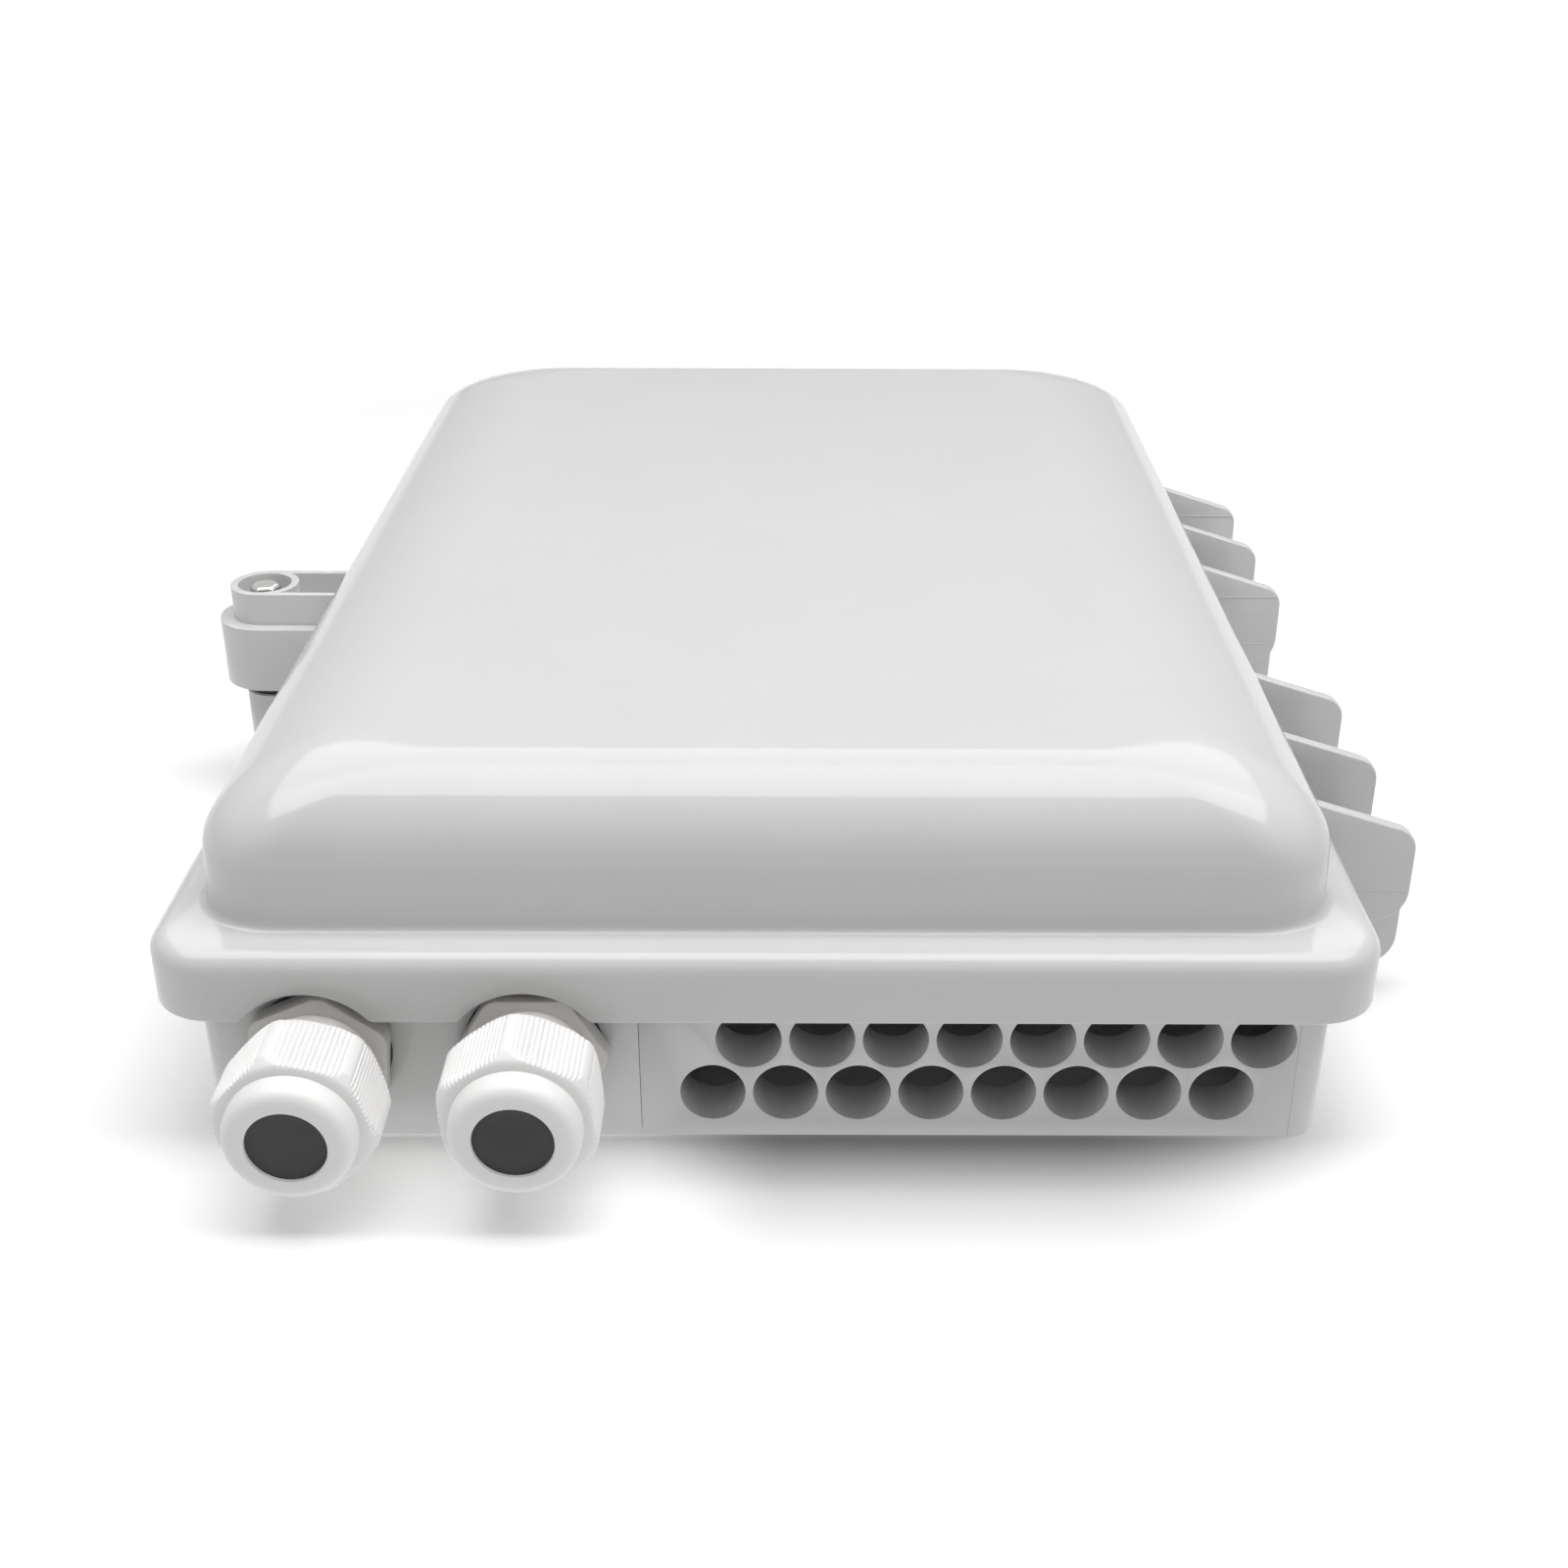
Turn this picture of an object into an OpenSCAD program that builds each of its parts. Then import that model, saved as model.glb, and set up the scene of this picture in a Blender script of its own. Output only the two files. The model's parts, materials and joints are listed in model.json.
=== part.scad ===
// Fibre termination box for a wall or pole: a flat base shell closed by a domed, hinged and locked lid.
// Frame: the origin is the centre of the rear face that lies on the wall, +Z points out of the wall
// towards the lid, -Y points to the cable entries and +X points to the hinges. Millimetres.

/* [Lid] */
// Length of the lid's flange, along the box
flange_l = 297; // [290:1:310]
// Width of the lid's flange, across the box
flange_w = 215; // [212:1:225]
// Plan radius of the flange's corners
flange_r = 12; // [8:1:16]
// Height of the skirt's lower edge above the wall
skirt_z = 27.9; // [27.5:0.1:29]
// Height of the shelf around the dome
shelf_z = 40.8; // [40.5:0.1:43]
// Radius that rounds the flange's upper edge
flange_round = 3.5; // [2:0.5:5]
// Height of the dome's top above the wall
dome_z = 68; // [60:1:80]
// Width of the shelf at the front and back of the dome
shelf_y = 9.3; // [8:0.1:12]
// Width of the shelf at the left and right of the dome
shelf_x = 7.2; // [6.5:0.1:9]
// Plan radius of the dome's lower corners
dome_r = 15; // [12:1:20]
// Slope of the dome's sides from upright, in degrees
dome_draft = 2.2; // [1:0.1:4]
// Radius of the dome's upper edge, upwards and along the box
dome_round = 17; // [12:1:20]
// Radius of the dome's upper edge, across the box
dome_round_side = 31; // [20:1:36]
// Wall thickness of lid and base
wall = 2.5; // [2:0.1:3]
// Radius of the skirt's cut-outs around the glands
arch_r = 14; // [13.6:0.1:15]

/* [Base] */
// Width of the base shell
base_w = 201; // [198:1:203]
// How far the base's front and back faces stand inside the flange
base_set_back = 5.5; // [5:0.1:7]
// Plan radius of the base's corners
base_r = 7; // [5:1:9]
// Height of the base's rim
rim_z = 36.5; // [36:0.1:37]
// Distance between the wall screws across the box
wall_screw_x = 168; // [160:1:172]
// Distance between the wall screws along the box
wall_screw_y = 236; // [230:1:244]
// Radius of the wall screws' holes
wall_hole_r = 2.75; // [2.5:0.05:3.25]

/* [Cable entry] */
// Radius of a drop port
port_r = 5.85; // [5:0.05:6]
// Distance between neighbouring drop ports in a row
port_pitch = 13; // [12.9:0.05:13.2]
// Length of a drop port
port_depth = 10; // [8:0.5:12]
// Number of drop ports in a row
port_count = 8; // [4:1:8]
// Across-flats size of the gland's body
gland_af = 24; // [22:0.5:25]
// Across-flats size of the gland's nut
nut_af = 26; // [25:0.5:26.5]
// Radius of the gland's thread
thread_r = 10.2; // [10:0.1:10.4]
// Radius of the gland nut's mouth
mouth_r = 6.85; // [6:0.05:7]

/* [Hinge and lock] */
// Distance of the hinge axis from the middle of the box
hinge_x = 118.5; // [118:0.1:119.5]
// Height of the hinge axis above the wall
hinge_z = 24.5; // [24:0.1:25]
// Radius of the hinge pins
pin_r = 2; // [1.5:0.1:2.5]
// Thickness of the lid's hinge ribs
rib_t = 3; // [2:0.5:4]
// Distance between neighbouring hinge ribs
rib_pitch = 30.3; // [28:0.1:32]
// Distance of the lock from the middle of the box
lock_x = 119.7; // [119:0.1:121]
// Outer radius of the lock boss
boss_r = 11; // [10:0.1:12]
// Radius of the lock bolt's shank
bolt_r = 4; // [3.5:0.1:4.2]

/* [Fittings] */
// Distance between neighbouring adapters
adapter_pitch = 12.6; // [12:0.1:13]
// Length of the splice tray
tray_l = 130; // [110:1:134]
// Width of the splice tray
tray_w = 150; // [120:1:154]
// Height of the splice tray's walls
tray_h = 10; // [8:1:12]

/* [Hidden] */
$fn = 48;
eps = 0.05;
hull_fn = 32;

// Colours
shell_gray = [0.88, 0.89, 0.89];
gland_gray = [0.72, 0.71, 0.70];
nut_white = [0.96, 0.96, 0.96];
rubber_black = [0.16, 0.16, 0.17];
steel = [0.75, 0.75, 0.77];
brass_yellow = [0.80, 0.66, 0.36];
inner_white = [0.93, 0.93, 0.91];
adapter_green = [0.10, 0.55, 0.32];
cap_clear = [0.85, 0.87, 0.90];

// Lid
flange_y = flange_l / 2;
flange_x = flange_w / 2;
dome_x = flange_x - shelf_x;
dome_y = flange_y - shelf_y;
dome_wall_z = dome_z - dome_round;
dome_lean = (dome_wall_z - shelf_z) * tan(dome_draft);
dome_step = 11.25;
slice_t = 0.01;
shelf_t = 2.8;
shelf_under = shelf_z - shelf_t;

// Base
base_x = base_w / 2;
base_y = flange_y - base_set_back;
panel_top = rim_z - 0.1;
panel_foot = 0.3;
panel_y = -base_y;
tongue_t = 1.9;
tongue_y = panel_y + wall;
panel_back = tongue_y + tongue_t;
panel_left = -96.3;
panel_split = -22.5;
panel_right = 94.2;
panel_gap = 0.05;
tongue_left = -base_x + wall + 0.15;
tongue_split = -20.45;
tongue_right = 96.6;
tongue_foot = wall + 0.1;
stop_t = 2;
stop_h = 31;
stop_side_w = 3.4;
mullion_w = 6.2;

// Gasket, seated in a groove under the shelf and resting on the rim
gasket_w = 3.2;
gasket_x = base_x - 0.4;
gasket_y = base_y - 0.4;
gasket_depth = 1.2;

// Drop ports: two rows, each port of the upper row over a gap of the lower row
port_x0 = -9.6;
port_z0 = 9.65;
port_row_z = port_pitch * sin(60);
block_margin = 0.9;
block_left = port_x0 - port_r - block_margin - 0.6;
block_right = panel_right - panel_gap;
block_top = 28.6;

// Glands, left then right: x and z of each axis
glands = [[-78.2, 19.0], [-40.9, 20.0]];
arches = [[-79.3, 19.4], [-41.6, 19.7]];
hex_turn = [24, 0];
nut_turn = [46, 35];
gland_hole_r = thread_r + 0.1;
washer_t = 1;
washer_r = 12.2;
hex_t = 4;
hex_front = panel_y - washer_t - hex_t;
nut_back = hex_front - 6;
nut_front = hex_front - 24;
nut_corner_r = 14.3;
nut_shoulder_r = 12.8;
nut_chamfer_end = 6.6;
nose_r = 11.25;
nose_l = 4.75;
nose_power = 3.2;
nose_face_r = mouth_r + 0.55;
nut_lip = 0.8;
plug_t = 1.9;
plug_r = 8;
nut_bore_r = thread_r + 0.15;
nut_neck_r = plug_r + 0.2;
barrel_bore_r = 8.1;
barrel_front = nut_back - 10;
barrel_back = panel_back + 8;
seal_r = 7.95;
seal_bore_r = 6;
seal_back = nut_back + 2;
locknut_t = 5;
nut_cone = 3;

// Hinge
rib_groups = [-64.8, 62];
knuckle_r = 7;
rib_outer = hinge_x + knuckle_r;
rib_slope = 17.56;
rib_top_x = dome_x - 1.3;
rib_top_z = 45.6;
rib_corner_r = 5;
rib_corner_x = rib_outer - rib_corner_r;
rib_corner_z = rib_top_z - (rib_corner_x - rib_top_x) * tan(rib_slope) - rib_corner_r / cos(rib_slope);
bracket_t = 5;
bracket_gap = 0.4;
bracket_offset = rib_t / 2 + bracket_gap + bracket_t / 2;
bracket_foot = 5.5;
bracket_r = 6.8;
bracket_top = skirt_z - 2.4;
rib_hole_r = pin_r + 0.06;
bracket_hole_r = pin_r + 0.02;
pin_end = 0.8;
pin_skin = 1.2;

// Lock: a post on the base, a boss on the lid and a turning bolt between them
lock_y = 0.4;
boss_z = 43.2;
collar_z = 50.7;
collar_r = 7.8;
collar_bore = 6.1;
collar_floor = 43.6;
post_r = 7;
post_top = 24.8;
post_foot = 3;
bolt_bore = bolt_r + 0.06;
bolt_flange_r = 5.9;
bolt_flange_z = 45;
bolt_key_z = 50.4;
bolt_key_r = 2.2;
bolt_key_reach = 1.5;
bolt_tip_r = 2.6;
bolt_tip_z = 18.6;
clip_pocket_r = 7;
clip_pocket_z = 30.2;
clip_z = 28.5;
clip_t = 1;
clip_r = 6.4;
clip_neck_r = 3.3;
insert_r = 4.6;
insert_bore = 3.5;
insert_z = 15;
seal_ring_r = 6.2;
seal_ring_bore = 4.9;
seal_ring_top = 27;

// Adapters: a simplex body with a flange, on an upright bracket behind the drop ports
adapter_x0 = -8.3;
adapter_w = 9.3;
adapter_h = 13;
adapter_l = 27;
adapter_flange_h = 22;
adapter_flange_t = 1.8;
adapter_cavity_w = 7.4;
adapter_cavity_h = 9;
adapter_cavity_l = 11;
adapter_rows = [18.5, 42.5];
adapter_count = 8;
bracket_y = -66;
bracket_sheet = 1.5;
bracket_plate_top = 55.5;
bracket_plate_x = [-19.5, 95.5];
bracket_flange_l = 16;
bracket_screw_x = [-10, 86];
cap_lip = 1.4;
cap_insert_l = 6;
cap_gap = 0.15;

// Screws
screw_r = 1.5;
screw_head_r = 2.9;
screw_head_t = 2;
screw_pilot = 1.5;
drive_r = 1.3;
drive_depth = 1.2;
boss_outer_r = 4;

// Cable clamps behind the glands
clamp_y = -108;
clamp_w = 10;
clamp_seat = 8;
clamp_reach = 12.5;
clamp_arch = 7.2;
clamp_t = 2.2;
clamp_wing = 5.5;

// Splice tray on four posts behind the adapters
tray_y = 34;
tray_z = 16;
tray_r = 12;
tray_t = 1.8;
tray_post_x = tray_w / 2 - 8;
tray_post_y = tray_l / 2 - 8;
tray_post_r = 4.5;
cover_t = 1.4;
cover_lip = 1;
holder_pitch = 4.6;
holder_slots = 12;
holder_l = 26;
holder_t = 1.4;
holder_h = 5;
spool_r = 17;
spool_x = 38;
spool_h = 6;
spool_lip_r = 19.5;
spool_lip_t = 1;

// Tie bar behind the drop ports
tie_y = -103;
tie_x = [-16, 92];
tie_w = 5;
tie_t = 2.5;
tie_z = 10;
tie_slots = 8;
tie_slot_w = 5;
tie_slot_d = 1.4;
tie_post_w = 8;

// 2-D rounded rectangle of half sizes x and y
module rounded_plan(x, y, r) {
    square([2 * (x - r), 2 * y], center = true);
    square([2 * x, 2 * (y - r)], center = true);
    for (sx = [-1, 1], sy = [-1, 1])
        translate([sx * (x - r), sy * (y - r)])
            circle(r);
}

// Rounded block of half sizes x and y from z0 to z1
module rounded_block(x, y, r, z0, z1) {
    translate([0, 0, z0])
        linear_extrude(z1 - z0)
            rounded_plan(x, y, r);
}

// Box between two opposite corners
module box(low, high) {
    translate(low)
        cube(high - low);
}

// Cylinder along +Y from y0 to y1 around the axis at x, z
module rod_y(x, z, r, y0, y1) {
    translate([x, y0, z])
        rotate([-90, 0, 0])
            cylinder(r = r, h = y1 - y0);
}

// Hexagonal prism along +Y, across flats af, turned by turn degrees
module hex_y(x, z, af, y0, y1, turn) {
    translate([x, y0, z])
        rotate([-90, 0, 0])
            rotate([0, 0, turn])
                cylinder(r = af / 2 / cos(30), h = y1 - y0, $fn = 6);
}

// Turned shape around the axis at x, z; the profile's second coordinate runs along -Y
module turned_y(x, z, profile) {
    translate([x, 0, z])
        rotate([90, 0, 0])
            rotate_extrude()
                polygon(profile);
}

// Pan-head screw with a cross drive, its head's underside at z
module screw_z(x, y, z, length) {
    translate([x, y, z]) {
        difference() {
            union() {
                cylinder(r = screw_head_r, h = screw_head_t);
                translate([0, 0, -length])
                    cylinder(r = screw_r - eps, h = length + eps);
            }
            for (a = [0, 90])
                rotate([0, 0, a])
                    translate([-drive_r, -0.35, screw_head_t - drive_depth])
                        cube([2 * drive_r, 0.7, drive_depth + 1]);
        }
    }
}

// Solid dome, shrunk by inset on its sides and top, reaching down to z0; its plan corners open
// out towards the top
module dome_solid(inset, z0) {
    x = dome_x - inset;
    y = dome_y - inset;
    r = dome_r - inset;
    round_side = dome_round_side - inset;
    round_up = dome_round - inset;
    hull() {
        rounded_block(x, y, r, z0, shelf_z, $fn = hull_fn);
        for (a = [0:dome_step:90])
            rounded_block(
                x - dome_lean - round_side * (1 - cos(a)),
                y - dome_lean - round_up * (1 - cos(a)),
                r,
                dome_wall_z + round_up * sin(a) - slice_t,
                dome_wall_z + round_up * sin(a),
                $fn = hull_fn
            );
    }
}

// Solid flange with its upper edge rounded
module flange_solid() {
    hull() {
        rounded_block(flange_x, flange_y, flange_r, skirt_z, shelf_z - flange_round, $fn = hull_fn);
        for (sx = [-1, 1], sy = [-1, 1])
            translate([
                sx * (flange_x - flange_r),
                sy * (flange_y - flange_r),
                shelf_z - flange_round
            ])
                rotate_extrude($fn = hull_fn)
                    translate([flange_r - flange_round, 0])
                        intersection() {
                            circle(flange_round, $fn = hull_fn);
                            square(flange_round);
                        }
    }
}

// Outline of a hinge rib in the X-Z plane
module rib_outline() {
    polygon([
        [flange_x - wall, shelf_under],
        [rib_top_x, shelf_under],
        [rib_top_x, rib_top_z],
        [
            rib_corner_x + rib_corner_r * sin(rib_slope),
            rib_corner_z + rib_corner_r * cos(rib_slope)
        ],
        [rib_outer, rib_corner_z],
        [rib_outer, hinge_z],
        [hinge_x - knuckle_r, hinge_z],
        [flange_x - wall, skirt_z]
    ]);
    translate([rib_corner_x, rib_corner_z])
        circle(rib_corner_r);
    translate([hinge_x, hinge_z])
        circle(knuckle_r);
}

// Plate in the X-Z plane, centred on y
module plate_xz(y, t) {
    translate([0, y + t / 2, 0])
        rotate([90, 0, 0])
            linear_extrude(t)
                children();
}

// Front end of a group's hinge pin, behind the skin of its front rib
function pin_start(group) = group - rib_pitch - rib_t / 2 + pin_skin;

// Rear end of a group's hinge pin, just behind its rear bracket
function pin_stop(group) = group + rib_pitch + bracket_offset + bracket_t / 2 + pin_end;

module hinge_ribs() {
    for (group = rib_groups, k = [-1, 0, 1])
        plate_xz(group + k * rib_pitch, rib_t)
            rib_outline();
}

// Lock boss: a lower lug, and a collar whose two straight walls run to the dome
module lock_boss() {
    translate([-lock_x, lock_y, skirt_z])
        cylinder(r = boss_r, h = boss_z - skirt_z);
    box([-lock_x, lock_y - boss_r, skirt_z], [-flange_x + wall, lock_y + boss_r, boss_z]);
    box([-flange_x, lock_y - boss_r, shelf_under], [-dome_x + 1.2, lock_y + boss_r, boss_z]);
    translate([-lock_x, lock_y, skirt_z])
        cylinder(r = collar_r, h = collar_z - skirt_z);
    difference() {
        box([-lock_x, lock_y - collar_r, boss_z - 1], [-dome_x + 1.6, lock_y + collar_r, collar_z]);
        box(
            [-lock_x, lock_y - collar_bore, collar_floor],
            [-dome_x - 0.4, lock_y + collar_bore, collar_z + 1]
        );
    }
}

module lid() {
    color(shell_gray)
        difference() {
            union() {
                dome_solid(0, shelf_under);
                flange_solid();
                hinge_ribs();
                lock_boss();
            }
            dome_solid(wall, shelf_under - 1);
            rounded_block(
                flange_x - wall, flange_y - wall, flange_r - wall, skirt_z - 1, shelf_under
            );
            difference() {
                rounded_block(
                    gasket_x + gasket_w / 2, gasket_y + gasket_w / 2, base_r,
                    shelf_under - 1, shelf_under + gasket_depth
                );
                rounded_block(
                    gasket_x - gasket_w / 2, gasket_y - gasket_w / 2, base_r - gasket_w,
                    shelf_under - 2, shelf_under + gasket_depth + 1
                );
            }
            for (a = arches)
                rod_y(a[0], a[1], arch_r, -flange_y - 1, -flange_y + wall + 0.3);
            for (group = rib_groups)
                rod_y(hinge_x, hinge_z, rib_hole_r, pin_start(group) - eps, group + 2 * rib_pitch);
            translate([-lock_x, lock_y, collar_floor])
                cylinder(r = collar_bore, h = collar_z);
            translate([-lock_x, lock_y, skirt_z - 1])
                cylinder(r = bolt_bore, h = collar_z);
            translate([-lock_x, lock_y, skirt_z - 1])
                cylinder(r = clip_pocket_r, h = clip_pocket_z - skirt_z + 1);
        }
}

module lid_gasket() {
    color(rubber_black)
        difference() {
            rounded_block(
                gasket_x + gasket_w / 2 - eps, gasket_y + gasket_w / 2 - eps, base_r - eps,
                rim_z + eps, shelf_under + gasket_depth - eps
            );
            rounded_block(
                gasket_x - gasket_w / 2 + eps, gasket_y - gasket_w / 2 + eps, base_r - gasket_w + eps,
                rim_z - 1, shelf_under + gasket_depth + 1
            );
        }
}

// Hinge bracket of the base in the X-Z plane
module bracket_outline() {
    translate([hinge_x, hinge_z])
        circle(bracket_r);
    translate([hinge_x, bracket_foot + bracket_r])
        circle(bracket_r);
    translate([hinge_x - bracket_r, bracket_foot + bracket_r])
        square([2 * bracket_r, hinge_z - bracket_foot - bracket_r]);
    translate([base_x - wall, bracket_foot])
        square([hinge_x - base_x + wall, bracket_top - bracket_foot]);
}

// Two brackets to each pin, one behind the front rib and one behind the rear rib
module hinge_brackets() {
    for (group = rib_groups, k = [-1, 1])
        plate_xz(group + k * rib_pitch + bracket_offset, bracket_t)
            bracket_outline();
}

// Upright screw boss on the floor
module floor_boss(x, y, r, z) {
    translate([x, y, wall - eps])
        cylinder(r = r, h = z - wall + eps);
}

module base_shell() {
    color(shell_gray)
        difference() {
            union() {
                difference() {
                    rounded_block(base_x, base_y, base_r, 0, rim_z);
                    rounded_block(base_x - wall, base_y - wall, base_r - wall, wall, rim_z + 1);
                    box([panel_left, -base_y - 1, -1], [panel_right, tongue_y, rim_z + 1]);
                    box(
                        [tongue_left - panel_gap, tongue_y, wall],
                        [tongue_right + panel_gap, panel_back, rim_z + 1]
                    );
                }
                // stops behind the two entry panels
                box(
                    [-base_x + 1, panel_back, 1],
                    [-base_x + wall + stop_side_w, panel_back + stop_t, stop_h]
                );
                box([base_x - wall - stop_side_w, panel_back, 1], [base_x - 1, panel_back + stop_t, stop_h]);
                box(
                    [tongue_split - mullion_w, panel_back, 1],
                    [tongue_split - 1, panel_back + stop_t, stop_h]
                );
                hinge_brackets();
                // lock post
                translate([-lock_x, lock_y, post_foot])
                    cylinder(r = post_r, h = post_top - post_foot);
                box([-lock_x, lock_y - post_r, post_foot], [-base_x + 1, lock_y + post_r, post_top]);
                // wall screw pads
                for (sx = [-1, 1], sy = [-1, 1])
                    floor_boss(sx * wall_screw_x / 2, sy * wall_screw_y / 2, 2 * wall_hole_r, wall + 1.5);
                // tray posts, clamp bosses, bracket bosses and tie bar posts
                for (sx = [-1, 1], sy = [-1, 1])
                    floor_boss(sx * tray_post_x, tray_y + sy * tray_post_y, tray_post_r, tray_z - eps);
                for (g = glands, s = [-1, 1])
                    floor_boss(g[0] + s * clamp_reach, clamp_y, boss_outer_r, clamp_seat - eps);
                for (x = bracket_screw_x)
                    floor_boss(x, bracket_y + bracket_flange_l / 2, boss_outer_r, 6 - eps);
                for (x = tie_x)
                    box(
                        [x - tie_post_w / 2, tie_y - tie_w / 2, wall - eps],
                        [x + tie_post_w / 2, tie_y + tie_w / 2, tie_z - eps]
                    );
            }
            for (sx = [-1, 1], sy = [-1, 1])
                translate([sx * wall_screw_x / 2, sy * wall_screw_y / 2, -1])
                    cylinder(r = wall_hole_r, h = 2 * wall + 3);
            for (sx = [-1, 1], sy = [-1, 1])
                translate([sx * tray_post_x, tray_y + sy * tray_post_y, wall + 1])
                    cylinder(r = screw_pilot, h = tray_z);
            for (g = glands, s = [-1, 1])
                translate([g[0] + s * clamp_reach, clamp_y, 1])
                    cylinder(r = screw_pilot, h = clamp_seat);
            for (x = bracket_screw_x)
                translate([x, bracket_y + bracket_flange_l / 2, 1])
                    cylinder(r = screw_pilot, h = 10);
            for (group = rib_groups)
                rod_y(hinge_x, hinge_z, bracket_hole_r, group - 2 * rib_pitch, group + 2 * rib_pitch);
            translate([-lock_x, lock_y, insert_z - 1])
                cylinder(r = insert_r + 0.02, h = post_top);
        }
}

module gland_panel() {
    color(shell_gray)
        difference() {
            union() {
                box(
                    [panel_left + panel_gap, panel_y, panel_foot],
                    [panel_split - panel_gap, tongue_y, panel_top]
                );
                box(
                    [panel_left + panel_gap, panel_y, tongue_foot],
                    [panel_split - panel_gap, panel_back - panel_gap, panel_top]
                );
                box(
                    [tongue_left, tongue_y + panel_gap, tongue_foot],
                    [tongue_split - panel_gap, panel_back - panel_gap, panel_top]
                );
            }
            for (g = glands)
                rod_y(g[0], g[1], gland_hole_r, panel_y - 1, panel_back + 1);
        }
}

// Axes of the drop ports as [x, z]
function port_axes() = [
    for (row = [0, 1], k = [0:port_count - 1])
        [port_x0 + (k + row / 2) * port_pitch, port_z0 + row * port_row_z]
];

module drop_port_panel() {
    color(shell_gray)
        difference() {
            union() {
                box(
                    [panel_split + panel_gap, panel_y, panel_foot],
                    [panel_right - panel_gap, tongue_y, panel_top]
                );
                box(
                    [tongue_split + panel_gap, panel_y, tongue_foot],
                    [panel_right - panel_gap, panel_back - panel_gap, panel_top]
                );
                box(
                    [panel_right - 1, tongue_y + panel_gap, tongue_foot],
                    [tongue_right, panel_back - panel_gap, panel_top]
                );
                box(
                    [block_left, panel_y, tongue_foot],
                    [block_right, panel_y + port_depth, block_top]
                );
            }
            for (a = port_axes())
                rod_y(a[0], a[1], port_r, panel_y - 1, panel_y + port_depth + 1);
        }
}

// Gland body: hexagon outside the panel, threaded barrels to both sides, and a cable bore
module gland_body(side) {
    x = glands[side][0];
    z = glands[side][1];
    color(gland_gray)
        difference() {
            union() {
                intersection() {
                    hex_y(x, z, gland_af, hex_front, panel_y - washer_t, hex_turn[side]);
                    rod_y(x, z, gland_af / 2 + 1.25, hex_front - 1, panel_y);
                }
                rod_y(x, z, thread_r, barrel_front, barrel_back);
            }
            rod_y(x, z, barrel_bore_r, barrel_front - 1, barrel_back + 1);
        }
}

module gland_washer(side) {
    color(rubber_black)
        difference() {
            rod_y(glands[side][0], glands[side][1], washer_r, panel_y - washer_t, panel_y);
            rod_y(glands[side][0], glands[side][1], thread_r, panel_y - washer_t - 1, panel_y + 1);
        }
}

module gland_seal(side) {
    color(rubber_black)
        difference() {
            rod_y(glands[side][0], glands[side][1], seal_r, nut_front + nut_lip + plug_t + 0.1, seal_back);
            rod_y(glands[side][0], glands[side][1], seal_bore_r, nut_front, seal_back + 1);
        }
}

module gland_plug(side) {
    color(rubber_black)
        rod_y(
            glands[side][0], glands[side][1], plug_r,
            nut_front + nut_lip + eps, nut_front + nut_lip + plug_t
        );
}

module gland_locknut(side) {
    color(gland_gray)
        difference() {
            hex_y(glands[side][0], glands[side][1], gland_af, panel_back, panel_back + locknut_t, 10);
            rod_y(glands[side][0], glands[side][1], thread_r + 0.02, panel_back - 1, barrel_back);
        }
}

// Gland nut: a hexagon that narrows through a rounded shoulder to a domed nose with a round mouth
module gland_nut(side) {
    x = glands[side][0];
    z = glands[side][1];
    color(nut_white)
        difference() {
            intersection() {
                hex_y(x, z, nut_af, nut_front, nut_back, nut_turn[side]);
                turned_y(x, z, [
                    [0, -nut_back],
                    [nut_corner_r - 0.6, -nut_back],
                    [nut_corner_r, -nut_back + 0.6],
                    [nut_corner_r, -nut_front - nut_chamfer_end],
                    [nut_shoulder_r, -nut_front - nose_l - 0.1],
                    for (a = [0:9:81])
                        [
                            nose_face_r + (nose_r - nose_face_r) * pow(cos(a), 2 / nose_power),
                            -nut_front - nose_l * (1 - pow(sin(a), 2 / nose_power))
                        ],
                    [nose_face_r, -nut_front],
                    [mouth_r, -nut_front],
                    [0, -nut_front]
                ]);
            }
            rod_y(x, z, nut_bore_r, nut_front + nut_lip + plug_t + nut_cone, nut_back + 1);
            rod_y(x, z, nut_neck_r, nut_front + nut_lip, nut_back + 1);
            rod_y(x, z, mouth_r, nut_front - 1, nut_back);
        }
}

// Pin pushed in from the rear through one group of brackets and ribs, up to the front rib's skin
module hinge_pin(group) {
    color(steel)
        rod_y(hinge_x, hinge_z, pin_r, pin_start(group), pin_stop(group));
}

module lock_insert() {
    color(brass_yellow)
        translate([-lock_x, lock_y, insert_z])
            difference() {
                cylinder(r = insert_r, h = post_top - insert_z);
                translate([0, 0, -1])
                    cylinder(r = insert_bore, h = post_top);
            }
}

module lock_seal() {
    color(rubber_black)
        translate([-lock_x, lock_y, post_top])
            difference() {
                cylinder(r = seal_ring_r, h = seal_ring_top - post_top);
                translate([0, 0, -1])
                    cylinder(r = seal_ring_bore, h = post_top);
            }
}

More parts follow.
